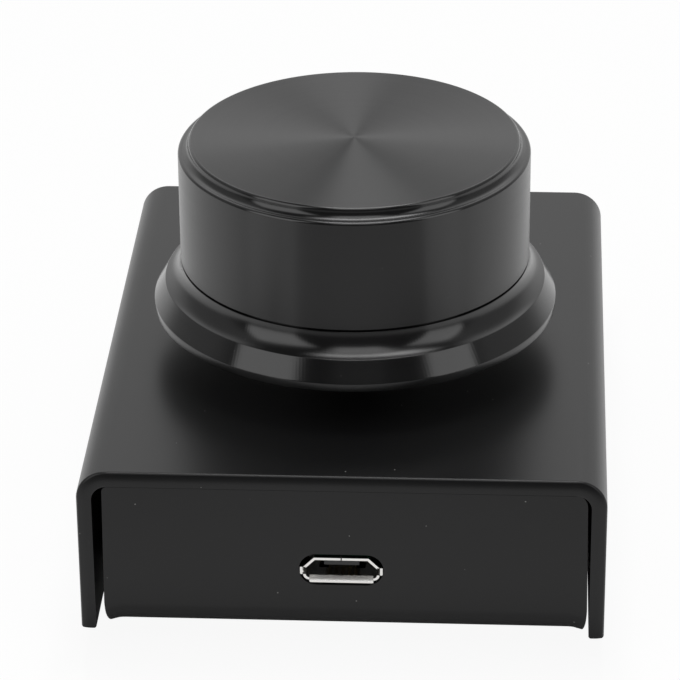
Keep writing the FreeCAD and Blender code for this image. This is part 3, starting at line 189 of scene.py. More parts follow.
deselect()
bpy.ops.mesh.primitive_plane_add(size=FLOOR_SIZE)
floor = bpy.context.object
floor.name = "floor"
floor_paper = bpy.data.materials.new("floor_paper")
floor_paper.use_nodes = True
paper = Wire(floor_paper.node_tree)
paper.tree.nodes.clear()
seen = paper.node("LightPath", out="Is Camera Ray")
mirrored = paper.node("LightPath", out="Is Glossy Ray")
spot = paper.node("TexCoord", out="Object")
across, along = spot.axis("X"), spot.axis("Y")
# Painted light on the floor: the paper is painted dim in front of the box, as painted shade, and
# beside, before and under it, as a painted contact shadow.
outside_painted_shadow = abs(across).rising(*PAINTED_SHADOW_BESIDE_BOX).math("MAXIMUM", abs(along).rising(*PAINTED_SHADOW_BEFORE_BOX))
painted_light_share = along.rising(*FLOOR_PAINTED_SHADE_EDGE) * outside_painted_shadow
painted_floor_tone = painted_light_share.blend((FLOOR_PAINTED_SHADE,) * 3, (FLOOR_WHITE,) * 3)
# Seen straight on, the floor glows evenly white; in reflections its white glow is painted only outside
# the painted shade and painted contact shadow, a painted reflection.
lift = (seen * FLOOR_LIFT_SEEN).math("MAXIMUM", mirrored * painted_light_share * FLOOR_LIFT_MIRRORED)
plain = paper.node("BsdfPrincipled", None,
                   {"Base Color": painted_floor_tone, "Roughness": FLOOR_ROUGHNESS, "IOR": FLOOR_IOR})
white = paper.node("Emission", None, {"Color": WHITE, "Strength": 1.0})
mixed = paper.node("MixShader", None, {0: lift, 1: plain, 2: white})
paper.node("OutputMaterial", None, {"Surface": mixed})
floor.data.materials.append(floor_paper)
floor_paper.cycles.emission_sampling = "NONE"

world = bpy.data.worlds.new("room")
bpy.context.scene.world = world
world.use_nodes = True
room = Wire(world.node_tree)
room.tree.nodes.clear()
gaze = room.node("TexCoord", out="Generated")
aside, away, high = abs(gaze.axis("X")), gaze.axis("Y"), gaze.axis("Z")
walls = away.rising(*SIDE_WALLS_RISE) * (SIDE_WALLS - ROOM_DARK)
walls = walls + away.rising(*BACK_WALL_RISE) * (1 - SIDE_WALLS)
walls = walls * high.rising(*LOW_WALLS_RISE).between(LOW_WALLS, 1.0)
glow_breadth = 1 - aside.rising(*BACK_GLOW_BREADTH)
glow = away.rising(*BACK_GLOW_DEPTH) * glow_breadth * high.rising(*BACK_GLOW_RISE)
walls = walls + glow * BACK_GLOW
walls = walls * (1 - high.rising(*DARK_CEILING)) + ROOM_DARK
seen = room.node("LightPath", out="Is Camera Ray")
passed = room.node("LightPath", out="Is Transmission Ray")
level = (seen + passed).math("MAXIMUM", walls)
lit = room.node("Background", None, {"Color": WHITE, "Strength": level})
room.node("OutputWorld", None, {"Surface": lit})


def softbox(name, place, target, width, depth, radiance, fade):
    """A soft rectangular light that fades towards its rim and that the camera doesn't see."""
    place, target = Vector(place), Vector(target)
    bpy.ops.object.light_add(type="AREA", location=place,
                             rotation=(place - target).to_track_quat("Z", "Y").to_euler())
    lamp = bpy.context.object
    lamp.name = name
    lamp.visible_camera = False
    lamp.data.shape = "RECTANGLE"
    lamp.data.size, lamp.data.size_y = width, depth
    lamp.data.energy = radiance * pi * width * depth
    lamp.data.use_nodes = True
    cloth = Wire(lamp.data.node_tree)
    cloth.tree.nodes.clear()
    where = cloth.node("NewGeometry", out="Parametric")
    glow = 1
    for way in "XY":
        share = where.axis(way)
        glow = share.rising(0, fade) * (1 - share.rising(1 - fade, 1)) * glow
    shine = cloth.node("Emission", None, {"Color": WHITE, "Strength": glow})
    cloth.node("OutputLight", None, {"Surface": shine})


def overhead(depth):
    """A place over the table and the spot under it, tilted by a hair to settle its roll."""
    return (OVERHEAD_X, depth, LAMP_DISTANCE), (OVERHEAD_X, depth + OVERHEAD_TILT, 0)


def front_corner(azimuth):
    """A place at that azimuth and the spot that a light there is aimed at."""
    return direction(radians(azimuth), radians(CORNER_ELEVATION)) * LAMP_DISTANCE, (0, 0, 0)


softbox("light_overhead", *overhead(depth=0.05),
        width=0.42, depth=0.34, radiance=6.0, fade=OVERHEAD_FADE)
softbox("light_overhead_front", *overhead(depth=-0.36),
        width=0.42, depth=0.60, radiance=1.9, fade=OVERHEAD_FADE)
softbox("light_front_left", *front_corner(azimuth=-49.5),
        width=0.44, depth=0.67, radiance=1.6, fade=CORNER_FADE)
softbox("light_front_right", *front_corner(azimuth=59),
        width=0.33, depth=0.67, radiance=1.55, fade=CORNER_FADE)


# ---------------------------------------------------------------- top cover
# Aluminium sheet folded to a U, its cut edges deburred, then etched satin and black anodised.
# The encoder's neck comes up through its hole, and the screws sit in countersinks.

SHEET = 1.5 * MM
BEND = 3.0 * MM
BEND_STEPS = 14
EDGE_ROUND = 0.2 * MM
EDGE_STEPS = 5
FLANGE_ROUND = 0.2 * MM
FLANGE_STEPS = 4
CROWN = 0.22 * MM
CROWN_REACH = 1.0 * MM
CROWN_CUTS = 6
COVER_DEBURR = 0.03 * MM
NECK_HOLE_RADIUS = 3.6 * MM
SCREW_HEAD_RADIUS = 2.35 * MM
SCREW_HOLE_RADIUS = 1.3 * MM
COUNTERSINK_RADIUS = 2.45 * MM
HOLE_SIDES = 48
CUTTER_REACH = 0.3 * MM
KNOB_AXIS = Vector((0, -3.3, 0)) * MM
HAIR = 0.001 * MM
NEAR = 0.01 * MM
FACING = 0.9
STRAIGHT = 0.99
SPECK_CORE = 0.6
SOFT_EDGE = radians(35)
DEBURRED_EDGE = radians(40)
DEBURR_STEPS = 2


def close_to(number, target, within=NEAR):
    return abs(number - target) < within


def begin(name):
    """Names the piece that was just added and puts its place into its mesh."""
    piece = bpy.context.object
    piece.name = name
    piece.data.name = name
    bpy.ops.object.transform_apply(location=True, rotation=True, scale=True)
    return piece


def add_box(name, low, high):
    """A block between two corners, to be shaped."""
    low, high = Vector(low), Vector(high)
    deselect()
    bpy.ops.mesh.primitive_cube_add(size=1, location=(low + high) / 2, scale=high - low)
    return begin(name)


def add_rod(name, middle, radius, length, axis=(0, 0, 1), vertices=64, far_radius=None):
    """A round bar, or a cone if its far end has another radius."""
    deselect()
    bpy.ops.mesh.primitive_cone_add(
        vertices=vertices, radius1=radius, radius2=radius if far_radius is None else far_radius,
        depth=length, location=middle, rotation=Vector(axis).to_track_quat("Z", "Y").to_euler())
    return begin(name)


def pick(kind, test):
    """In edit mode, selects the open mesh's faces or edges that pass the test."""
    bpy.ops.mesh.select_mode(type=kind)
    bpy.ops.mesh.select_all(action="DESELECT")
    mesh = bmesh.from_edit_mesh(bpy.context.object.data)
    for part in mesh.faces if kind == "FACE" else mesh.edges:
        if test(part):
            part.select_set(True)
    bmesh.update_edit_mesh(bpy.context.object.data)


def middle_of(edge):
    return (edge.verts[0].co + edge.verts[1].co) / 2


def runs_along(edge, axis):
    """Whether an edge is parallel to axis 0, 1 or 2."""
    span = edge.verts[1].co - edge.verts[0].co
    return abs(span[axis]) > STRAIGHT * span.length


def take(piece):
    """Selects the piece alone and makes it the active one."""
    deselect()
    piece.select_set(True)
    bpy.context.view_layer.objects.active = piece


def editing(piece):
    take(piece)
    bpy.ops.object.mode_set(mode="EDIT")


def done_editing():
    bpy.ops.object.mode_set(mode="OBJECT")


def modify(piece, kind, **settings):
    """Adds a modifier with these settings and applies it."""
    take(piece)
    modifier = piece.modifiers.new(kind.lower(), kind)
    for name, setting in settings.items():
        setattr(modifier, name, setting)
    bpy.ops.object.modifier_apply(modifier=modifier.name)


def add_countersunk(name, face, outwards, narrow, wide, length, shank, vertices=HOLE_SIDES):
    """A cone that is wide at the face, its narrow end drawn out to a shank."""
    made = add_rod(name, face - outwards * length / 2, narrow, length, outwards, vertices, wide)
    editing(made)
    pick("FACE", lambda face: face.normal.dot(outwards) < -STRAIGHT)
    bpy.ops.mesh.extrude_region_move(TRANSFORM_OT_translate={"value": outwards * -shank})
    done_editing()
    return made


def cut(piece, cutter):
    """Cuts the shape out of the piece and removes it."""
    modify(piece, "BOOLEAN", operation="DIFFERENCE", object=cutter, solver="EXACT")
    bpy.data.objects.remove(cutter)


def folded(piece, bend_test, open_test):
    """Rounds the block's bend edges, opens the sides that the sheet leaves free and gives the
    shell that is left the thickness of the sheet."""
    editing(piece)
    pick("EDGE", bend_test)
    bpy.ops.mesh.bevel(offset=BEND, segments=BEND_STEPS, affect="EDGES")
    pick("FACE", open_test)
    bpy.ops.mesh.delete(type="FACE")
    done_editing()
    modify(piece, "SOLIDIFY", thickness=SHEET, offset=-1, use_even_offset=True)


def deburr(piece, width):
    """Breaks the piece's sharp edges."""
    modify(piece, "BEVEL", width=width, segments=DEBURR_STEPS, limit_method="ANGLE",
           angle_limit=DEBURRED_EDGE, use_clamp_overlap=True)


def smooth(piece):
    """Shades the rounds smooth and keeps flat faces flat up to their edges."""
    take(piece)
    bpy.ops.object.shade_smooth_by_angle(angle=SOFT_EDGE)
    modify(piece, "WEIGHTED_NORMAL", keep_sharp=True)


def new_material(name):
    """An empty material, and the object's own coordinates in millimetres as one wire."""
    made = bpy.data.materials.new(name + "_finish")
    made.use_nodes = True
    made.node_tree.nodes.clear()
    place = Wire(made.node_tree).node("TexCoord", out="Object")
    return made, place.node("VectorMath", {"operation": "SCALE"}, {0: place, "Scale": 1 / MM})


def surface(made, base, rough, bump, bump_depth, metallic=0.0, **constants):
    """Finishes a material from the wires of its colour, roughness and bump; the rest are plain
    numbers."""
    bumped = bump.node("Bump", None, {"Strength": 1.0, "Distance": bump_depth, "Height": bump})
    look = bump.node("BsdfPrincipled", None, {
        "Base Color": base, "Roughness": rough, "Normal": bumped, "Metallic": metallic, **constants})
    look.node("OutputMaterial", None, {"Surface": look})
    return made


def noise(place, scale, detail=2.0, roughness=0.5, stretch=(1, 1, 1)):
    """Soft noise from 0 to 1 whose grain is about 1 / scale millimetres."""
    spread = place.node("VectorMath", {"operation": "MULTIPLY"}, {0: place, 1: stretch})
    return place.node("TexNoise", None, {
        "Vector": spread, "Scale": scale, "Detail": detail, "Roughness": roughness})


def specks(place, scale, size):
    """1 in small round dots strewn over the surface, 0 elsewhere."""
    distance = place.node("TexVoronoi", None, {"Vector": place, "Scale": scale})
    return 1 - distance.rising(size * SPECK_CORE, size)


def black_sheet():
    """Black anodised sheet: even satin, a trace of the rolling direction, a little dust."""
    made, place = new_material("black_sheet")
    grain = noise(place, 5.0, detail=3.0, roughness=0.6)
    rolled = noise(place, 1.2, detail=4.0, roughness=0.6, stretch=(6.0, 0.25, 6.0))
    cloud = noise(place, 0.09, detail=3.0)
    dust = specks(place, 0.42, 0.035)
    base = cloud.blend((0.0052, 0.0052, 0.0054), (0.0064, 0.0064, 0.0067))
    base = (dust * 0.8).blend(base, (0.30, 0.30, 0.29))
    rough = cloud.between(0.30, 0.34) + (grain - 0.5) * 0.05 + dust * 0.3
    return surface(made, base, rough, grain + rolled * 0.35 + dust * 2.0, 0.004 * MM, IOR=1.385)


black_sheet_finish = black_sheet()
cover_low, cover_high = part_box("top_cover")
top_cover = add_box("top_cover_folded", cover_low, cover_high)
folded(top_cover,
       lambda edge: runs_along(edge, 1) and close_to(middle_of(edge).z, cover_high.z),
       lambda face: face.normal.z < -FACING or abs(face.normal.y) > FACING)
cut(top_cover, add_rod("neck_hole", KNOB_AXIS + Vector((0, 0, cover_high.z)),
                       NECK_HOLE_RADIUS, 4 * SHEET))
screw_low, screw_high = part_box("cover_screws")
SCREW_ROW = screw_high.y - SCREW_HEAD_RADIUS
SCREW_HEIGHT = (screw_low.z + screw_high.z) / 2
for side in (-1, 1):
    for row in (-SCREW_ROW, SCREW_ROW):
        hole_face = Vector((side * (cover_high.x + CUTTER_REACH), row, SCREW_HEIGHT))
        cut(top_cover, add_countersunk(
            "screw_hole", hole_face, Vector((side, 0, 0)),
            SCREW_HOLE_RADIUS, COUNTERSINK_RADIUS + CUTTER_REACH,
            COUNTERSINK_RADIUS - SCREW_HOLE_RADIUS + CUTTER_REACH, 3 * SHEET))


def depth_in_sheet(point):
    """How far a point lies under the cover's outer surface, round its bends too."""
    aside = abs(point.x) - (cover_high.x - BEND)
    above = point.z - (cover_high.z - BEND)
    if min(aside, above) > 0:
        return BEND - sqrt(aside ** 2 + above ** 2)
    return BEND - max(aside, above)


def at_the_ends(edge):
    return all(close_to(abs(corner.co.y), cover_high.y, CROWN + HAIR) for corner in edge.verts)


# The shear leaves the cut ends a little crowned, drawn in towards the outer surface.
editing(top_cover)
pick("EDGE", lambda edge: at_the_ends(edge) and close_to(edge.calc_length(), SHEET))
bpy.ops.mesh.subdivide(number_cuts=CROWN_CUTS)
done_editing()
for vertex in top_cover.data.vertices:
    if close_to(abs(vertex.co.y), cover_high.y):
        nearness = max(0, 1 - depth_in_sheet(vertex.co) / CROWN_REACH)
        vertex.co.y *= 1 - CROWN * nearness ** 2 / cover_high.y
editing(top_cover)
pick("EDGE", lambda edge: at_the_ends(edge)
     and close_to(depth_in_sheet(middle_of(edge)), 0, EDGE_ROUND / 4))
bpy.ops.mesh.bevel(offset=EDGE_ROUND, segments=EDGE_STEPS, affect="EDGES")
pick("EDGE", lambda edge: runs_along(edge, 1) and close_to(middle_of(edge).z, cover_low.z)
     and close_to(abs(abs(middle_of(edge).x) - (cover_high.x - SHEET / 2)), SHEET / 2))
bpy.ops.mesh.bevel(offset=FLANGE_ROUND, segments=FLANGE_STEPS, affect="EDGES")
done_editing()
deburr(top_cover, COVER_DEBURR)
smooth(top_cover)
top_cover.data.materials.append(black_sheet_finish)
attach(top_cover, "case")
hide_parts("top_cover")


# ---------------------------------------------------------------- bottom tray
# The second folded U, of the same sheet: floor, front panel with the socket's slot and back
# panel, drawn in a little at the bends. Four tabs beside its floor take the cover's screws.

TAB_LENGTH = 9.0 * MM
TAB_GAP = 0.1 * MM
TAB_HEIGHT = 12.0 * MM
TAB_RELIEF = 1.2 * MM
TRAY_SIDES = {-1: -23.15 * MM, 1: 23.80 * MM}
PANEL_CORNERS = {-1: 0.5 * MM, 1: 1.3 * MM}
PANEL_CORNER_STEPS = 8
PANEL_LEAN = 0.18 * MM
PANEL_LINES = (0.95 * MM, 1.3 * MM, 1.7 * MM, 2.3 * MM, 3.0 * MM)
BEND_MARGIN = 0.4 * MM
LINE_MERGE = 0.08 * MM
WAIST_HEIGHT = 3.2 * MM
WAIST_DEPTH = 0.6 * MM
WAIST_RADIUS = (WAIST_HEIGHT ** 2 + WAIST_DEPTH ** 2) / (2 * WAIST_DEPTH)
WAIST_REACH = 2.6 * MM
WAIST_STEPS = 8
EAR = 0.28 * MM
EAR_REACH = 1.7 * MM
TRAY_DEBURR = 0.025 * MM
SLOT_WIDTH = 8.2 * MM
SLOT_HEIGHT = 3.4 * MM
SLOT_LEVEL = 9.175 * MM
SLOT_STEPS = 16
SLIVER = 0.008 * MM
NEARLY_FLAT = radians(0.3)

tray_low, tray_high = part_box("bottom_tray")
bend_line = tray_high.y - BEND
bottom_tray = add_box("bottom_tray_folded", (TRAY_SIDES[-1], tray_low.y, tray_low.z),
                      (TRAY_SIDES[1], tray_high.y, tray_high.z))
folded(bottom_tray,
       lambda edge: runs_along(edge, 0) and close_to(middle_of(edge).z, tray_low.z),
       lambda face: face.normal.z > FACING or abs(face.normal.x) > FACING)

tab_face = cover_high.x - SHEET - TAB_GAP
tab_root = tab_face - BEND


def side_tab(name, side, row):
    """A tab folded up beside the tray's floor, inside the flange, with its screw's hole."""
    ends = sorted((side * tab_root, side * tab_face))
    tab = add_box(name, (ends[0], row - TAB_LENGTH / 2, tray_low.z),
                  (ends[1], row + TAB_LENGTH / 2, tray_low.z + TAB_HEIGHT))
    folded(tab,
           lambda edge: runs_along(edge, 1) and close_to(middle_of(edge).z, tray_low.z)
           and close_to(middle_of(edge).x, side * tab_face),
           lambda face: face.normal.z > FACING or abs(face.normal.y) > FACING
           or face.normal.x * side < -FACING)
    cut(tab, add_rod("tab_hole", (side * tab_face, row, SCREW_HEIGHT),
                     SCREW_HOLE_RADIUS, 4 * SHEET, (1, 0, 0), HOLE_SIDES))
    return tab


tabs = []
relief_reach = TAB_LENGTH / 2 + TAB_RELIEF
for side in (-1, 1):
    for row in (-SCREW_ROW, SCREW_ROW):
        cut(bottom_tray, add_box(
            "relief", (side * tab_root, row - relief_reach, tray_low.z - SHEET),
            (side * (TRAY_SIDES[1] + SHEET), row + relief_reach, tray_low.z + 2 * SHEET)))
        tabs.append(side_tab(f"tray_tab_{len(tabs)}", side, row))
socket_slot = add_box("slot", (-SLOT_WIDTH / 2, tray_low.y - SHEET, SLOT_LEVEL - SLOT_HEIGHT / 2),
                      (SLOT_WIDTH / 2, tray_low.y + 2 * SHEET, SLOT_LEVEL + SLOT_HEIGHT / 2))
editing(socket_slot)
pick("EDGE", lambda edge: runs_along(edge, 1))
bpy.ops.mesh.bevel(offset=SLOT_HEIGHT / 2 - HAIR, segments=SLOT_STEPS, affect="EDGES")
done_editing()
cut(bottom_tray, socket_slot)


def cross_lines(piece, axis, places):
    """Cuts a line round the piece at each place along an axis, for its corners to be moved."""
    normal = Vector((axis == 0, axis == 1, axis == 2))
    editing(piece)
    for place in places:
        bpy.ops.mesh.select_all(action="SELECT")
        bpy.ops.mesh.bisect(plane_co=normal * place, plane_no=normal)
    done_editing()


def merge_close(piece, gap):
    editing(piece)
    bpy.ops.mesh.select_all(action="SELECT")
    bpy.ops.mesh.remove_doubles(threshold=gap)
    done_editing()


def tidy_mesh(piece):
    """Merges the doubles and slivers that cutting leaves, and flat faces into one."""
    merge_close(piece, SLIVER)
    editing(piece)
    bpy.ops.mesh.select_all(action="SELECT")
    bpy.ops.mesh.dissolve_degenerate(threshold=SLIVER)
    bpy.ops.mesh.dissolve_limited(angle_limit=NEARLY_FLAT)
    done_editing()


def side_drawn_in(rise):
    """How far a panel's side lies inside the tray's, at that height over its underside."""
    if rise < WAIST_HEIGHT:
        return WAIST_RADIUS - sqrt(WAIST_RADIUS ** 2 - (WAIST_HEIGHT - rise) ** 2)
    return PANEL_LEAN * (rise - WAIST_HEIGHT) / (tray_high.z - tray_low.z - WAIST_HEIGHT)


cross_lines(bottom_tray, 2, [tray_low.z + WAIST_HEIGHT * step / WAIST_STEPS
                             for step in range(WAIST_STEPS // 2, WAIST_STEPS + 1)])
cross_lines(bottom_tray, 1, [-bend_line + BEND_MARGIN, bend_line - BEND_MARGIN])
cross_lines(bottom_tray, 0, [place - side * line for side, place in TRAY_SIDES.items()
                             for line in PANEL_LINES])
merge_close(bottom_tray, LINE_MERGE)
# Bending squeezes the sheet's ends: they draw in beside the bend and stand out in small ears.
for vertex in bottom_tray.data.vertices:
    side = 1 if vertex.co.x > 0 else -1
    end = 1 if vertex.co.y > 0 else -1
    from_side = abs(TRAY_SIDES[side] - vertex.co.x)
    if abs(vertex.co.y) <= bend_line - HAIR or from_side >= WAIST_REACH:
        continue
    outwards = Vector((0, vertex.co.y - end * bend_line, vertex.co.z - (tray_low.z + BEND)))
    curl = 0
    if outwards.z < 0 and outwards.length > HAIR:
        outwards.normalize()
        curl = sqrt(2 * abs(outwards.y * outwards.z))
    vertex.co.x -= side * side_drawn_in(vertex.co.z - tray_low.z) * (1 - from_side / WAIST_REACH)
    vertex.co += outwards * EAR * curl * max(0, 1 - from_side / EAR_REACH) ** 2
    vertex.co.y = end * min(abs(vertex.co.y), tray_high.y)
for side, place in TRAY_SIDES.items():
    editing(bottom_tray)
    pick("EDGE", lambda edge: runs_along(edge, 1) and close_to(middle_of(edge).z, tray_high.z)
         and close_to(middle_of(edge).x, place - side * PANEL_LEAN))
    bpy.ops.mesh.bevel(offset=PANEL_CORNERS[side], segments=PANEL_CORNER_STEPS, affect="EDGES")
    done_editing()
deburr(bottom_tray, TRAY_DEBURR)
tidy_mesh(bottom_tray)
for piece in [bottom_tray] + tabs:
    smooth(piece)
    piece.data.materials.append(black_sheet_finish)
    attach(piece, "case")
    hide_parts("bottom_tray")


# ---------------------------------------------------------------- cover screws
# Four countersunk cross-recessed machine screws, black zinc plated. They go through the
# cover's flanges into the tray's tabs; one is modelled and copied to each corner.

SHANK_RADIUS = 1.25 * MM
SHANK_BEYOND = 2.9 * MM
SCREW_SIDES = 64
RECESS_LENGTH = 2.6 * MM
RECESS_WIDTH = 0.7 * MM
RECESS_DEPTH = 1.0 * MM
RECESS_TAPER = 0.62
SCREW_DEBURR = 0.05 * MM
CASE_CORNERS = {
    "back_right": (1, 1),
    "front_right": (1, -1),
    "back_left": (-1, 1),
    "front_left": (-1, -1),
}


def black_screw():
    """Black zinc on steel: smooth and faintly mottled."""
    made, place = new_material("black_screw")
    mottle = noise(place, 2.2, detail=4.0)
    base = mottle.blend((0.012, 0.012, 0.013), (0.03, 0.03, 0.032))
    return surface(made, base, mottle.between(0.24, 0.38), mottle, 0.003 * MM, metallic=0.6)


black_screw_finish = black_screw()
head_face = Vector((screw_high.x, SCREW_ROW, SCREW_HEIGHT))
shank_length = screw_high.x - (cover_high.x - SHEET) + SHANK_BEYOND
screw = add_countersunk("cover_screw", head_face, Vector((1, 0, 0)), SHANK_RADIUS,
                        SCREW_HEAD_RADIUS, SCREW_HEAD_RADIUS - SHANK_RADIUS, shank_length, SCREW_SIDES)
for breadth, height in ((RECESS_LENGTH, RECESS_WIDTH), (RECESS_WIDTH, RECESS_LENGTH)):
    half = Vector((RECESS_DEPTH, breadth / 2, height / 2))
    arm = add_box("recess_arm", head_face - half, head_face + half)
    editing(arm)
    pick("FACE", lambda face: face.normal.x < -FACING)
    bpy.ops.transform.resize(value=(1, RECESS_TAPER, RECESS_TAPER),
                             center_override=head_face - Vector((RECESS_DEPTH, 0, 0)))
    done_editing()
    cut(screw, arm)
tidy_mesh(screw)
deburr(screw, SCREW_DEBURR)
smooth(screw)
screw.data.materials.append(black_screw_finish)


def mirrored_copy(piece, name, signs):
    """A copy with its own mesh, mirrored in x or y where a sign is negative."""
    twin = piece.copy()
    twin.data = piece.data.copy()
    twin.name = twin.data.name = name
    bpy.context.scene.collection.objects.link(twin)
    turned_inside_out = 1
    for axis, sign in enumerate(signs):
        turned_inside_out *= sign
        for vertex in twin.data.vertices:
            vertex.co[axis] *= sign
    if turned_inside_out < 0:
        twin.data.flip_normals()
    return twin


for place_name, signs in CASE_CORNERS.items():
    one = mirrored_copy(screw, "cover_screw_" + place_name, signs)
    smooth(one)
    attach(one, "case")
    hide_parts("cover_screws")
bpy.data.objects.remove(screw)


# ---------------------------------------------------------------- rubber feet
# Four stick-on feet of moulded matt black rubber, rounded at the edge they stand on.
# They sit under the corners of the tray's floor.

FOOT_ROUND = 0.5 * MM
FOOT_ROUND_STEPS = 8
FOOT_FLAT = 0.4
FOOT_SIDES = 96


def turned(name, centre, stations, segments):
    """A piece turned about an upright axis: a disc whose edge is drawn out through the
    stations, each a radius and a height, and closed at the last."""
    radius, height = stations[0]
    deselect()
    bpy.ops.mesh.primitive_circle_add(vertices=segments, radius=radius, fill_type="TRIFAN",
                                      location=(centre.x, centre.y, height))
    piece = begin(name)
    editing(piece)
    pick("EDGE", lambda edge: edge.is_boundary)
    for next_radius, next_height in stations[1:]:
        bpy.ops.mesh.extrude_edges_move(
            TRANSFORM_OT_translate={"value": (0, 0, next_height - height)})
        share = next_radius / radius
        bpy.ops.transform.resize(value=(share, share, 1),
                                 center_override=(centre.x, centre.y, next_height))
        radius, height = next_radius, next_height
    bpy.ops.mesh.merge(type="CENTER")
    bpy.ops.mesh.select_all(action="SELECT")
    bpy.ops.mesh.remove_doubles(threshold=HAIR / 2)
    bpy.ops.mesh.normals_make_consistent(inside=False)
    done_editing()
    return piece


def arc(centre_radius, centre_height, radius, start, end, steps):
    """Stations along an arc, its first end left out; angles from outwards, up positive."""
    turns = [radians(start + (end - start) * step / steps) for step in range(1, steps + 1)]
    return [(centre_radius + radius * cos(turn), centre_height + radius * sin(turn))
            for turn in turns]


def foot_rubber():
    """Matt black rubber with a moulded grain and a little dust."""
    made, place = new_material("foot_rubber")
    grain = noise(place, 6.0, detail=4.0, roughness=0.7)
    dust = specks(place, 1.1, 0.05)
    base = grain.blend((0.014, 0.014, 0.014), (0.024, 0.024, 0.024))
    base = (dust * 0.4).blend(base, (0.2, 0.2, 0.19))
    return surface(made, base, grain.between(0.62, 0.82), grain, 0.02 * MM)


foot_rubber_finish = foot_rubber()
foot_low, foot_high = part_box("rubber_foot_back_right")
foot_middle = (foot_low + foot_high) / 2
foot_radius = (foot_high.x - foot_low.x) / 2
foot_stations = [(foot_radius * FOOT_FLAT, foot_low.z), (foot_radius - FOOT_ROUND, foot_low.z)]
foot_stations += arc(foot_radius - FOOT_ROUND, foot_low.z + FOOT_ROUND, FOOT_ROUND,
                     -90, 0, FOOT_ROUND_STEPS)
foot_stations += [(foot_radius, foot_high.z), (foot_radius * FOOT_FLAT, foot_high.z)]
foot = turned("rubber_foot", foot_middle, foot_stations, FOOT_SIDES)
foot.data.materials.append(foot_rubber_finish)
for place_name, signs in CASE_CORNERS.items():
    one = mirrored_copy(foot, "moulded_foot_" + place_name, signs)
    smooth(one)
    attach(one, "case")
    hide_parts("rubber_foot_" + place_name)
bpy.data.objects.remove(foot)


# ---------------------------------------------------------------- knob
# Turned from aluminium bar and black anodised: a spun top face inside a small cove, a plain
# grip, a seam groove, the skirt's cove, cone and rim, and a recess and a bore underneath.

KNOB_RADIUS = 17.6 * MM
KNOB_SIDES = 360
KNOB_EDGE = 0.12 * MM
RIM_EDGE = 0.32 * MM
RIM_COVE = 0.75 * MM
SKIRT_RADIUS = 20.35 * MM
SKIRT_RIM = 0.87 * MM
SKIRT_RIM_ROUND = 0.25 * MM
SKIRT_EDGE_RADIUS = 19.2 * MM
SKIRT_EDGE_ROUND = 0.1 * MM
SKIRT_COVE = 2.3 * MM
SEAM_HEIGHT = 5.1 * MM
SEAM_WIDTH = 0.25 * MM
SEAM_DEPTH = 0.35 * MM
SEAM_EDGE = 0.04 * MM
HUB_RADIUS = 8.0 * MM
BORE_RADIUS = 3.02 * MM
BORE_END = 14.5 * MM
RECESS_WALL = 3.0 * MM
RECESS_ROOF = 3.5 * MM
GRUB_RISE = 10.0 * MM
GRUB_HOLE_RADIUS = 1.53 * MM
COVE_STEPS = 14
ROUND_STEPS = 4
TOP_RINGS = (0.6, 0.2, 0.02)

knob_low, knob_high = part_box("knob_body")
floor_of_knob = knob_low.z
top_of_knob = knob_high.z
knob_height = top_of_knob - floor_of_knob
rim_radius = KNOB_RADIUS - RIM_EDGE - RIM_COVE

# The finish's own numbers: heights and radii in millimetres, and shares of roughness.
TOP_LEVEL = top_of_knob / MM
SPUN_FACE = (TOP_LEVEL - 0.012, TOP_LEVEL - 0.004)
SPUN_RADIUS = (rim_radius - RIM_EDGE) / MM
SPUN_LEAN = 90
COVE_FOOT = (top_of_knob - RIM_COVE) / MM
COVE_STEP = 0.3
GRIP_LOW = (floor_of_knob + SEAM_HEIGHT) / MM + SEAM_WIDTH / MM
GRIP_HIGH = TOP_LEVEL - (RIM_COVE + 2 * RIM_EDGE) / MM
GRIP_STEP = 0.02
SKIRT_TOP = (floor_of_knob + SEAM_HEIGHT) / MM
SKIRT_STEP = 0.05
CHATTER_MARKS = 360
CHATTER_SLANT = 1.5
TURNED_ROUGH = 0.15
GRIP_ROUGHER = 0.11
SPUN_ROUGHER = 0.20
UNEVEN = 0.03


def ring_noise(profile, scale, detail, roughness=0.5):
    """Noise that is the same all the way round the axis."""
    return profile.node("TexNoise", {"noise_dimensions": "1D"},
                        {"W": profile, "Scale": scale, "Detail": detail, "Roughness": roughness})


def knob_metal():
    """Black anodised turned aluminium. The tool's feed leaves fine rings everywhere, the top is
    spun, and the skirt has faint slanted chatter marks."""
    made, place = new_material("knob_metal")
    from_axis = place.node("VectorMath", {"operation": "SUBTRACT"}, {0: place, 1: KNOB_AXIS / MM})
    across, along, height = (from_axis.axis(name) for name in "XYZ")
    radius = (across * across + along * along) ** 0.5
    turn = along.math("ARCTAN2", across)
    profile = height - radius
    feed = ring_noise(profile, 7.0, 3.0, roughness=0.6)
    bands = ring_noise(profile, 1.3, 2.0)
    chatter = (turn * CHATTER_MARKS + profile * CHATTER_SLANT).math("SINE")
    patchy = noise(place, 0.35, detail=2.0)
    dust = specks(place, 0.6, 0.03)
    above_cove = height.rising(COVE_FOOT - COVE_STEP, COVE_FOOT)
    spun = height.rising(*SPUN_FACE)
    grip = (height.rising(GRIP_LOW - GRIP_STEP, GRIP_LOW)
            * (1 - height.rising(GRIP_HIGH, GRIP_HIGH + GRIP_STEP)))
    skirt = 1 - height.rising(SKIRT_TOP - SKIRT_STEP, SKIRT_TOP)
    base = bands.blend((0.0034, 0.0034, 0.0036), (0.0048, 0.0048, 0.005))
    base = (dust * 0.4).blend(base, (0.16, 0.16, 0.155))
    rough = TURNED_ROUGH + grip * GRIP_ROUGHER + spun * SPUN_ROUGHER
    rough = rough + (bands - 0.5) * UNEVEN + (feed - 0.5) * UNEVEN + dust * 0.3
    lean = above_cove * (radius - SPUN_RADIUS).math("MINIMUM", 0.0) * -SPUN_LEAN
    lines = feed * (1 - grip * 0.75) + skirt * chatter * patchy * 0.5 + dust + lean
    return surface(made, base, rough, lines, 0.0012 * MM,
                   IOR=1.58, Anisotropic=1.0, **{"Anisotropic Rotation": 0.25})


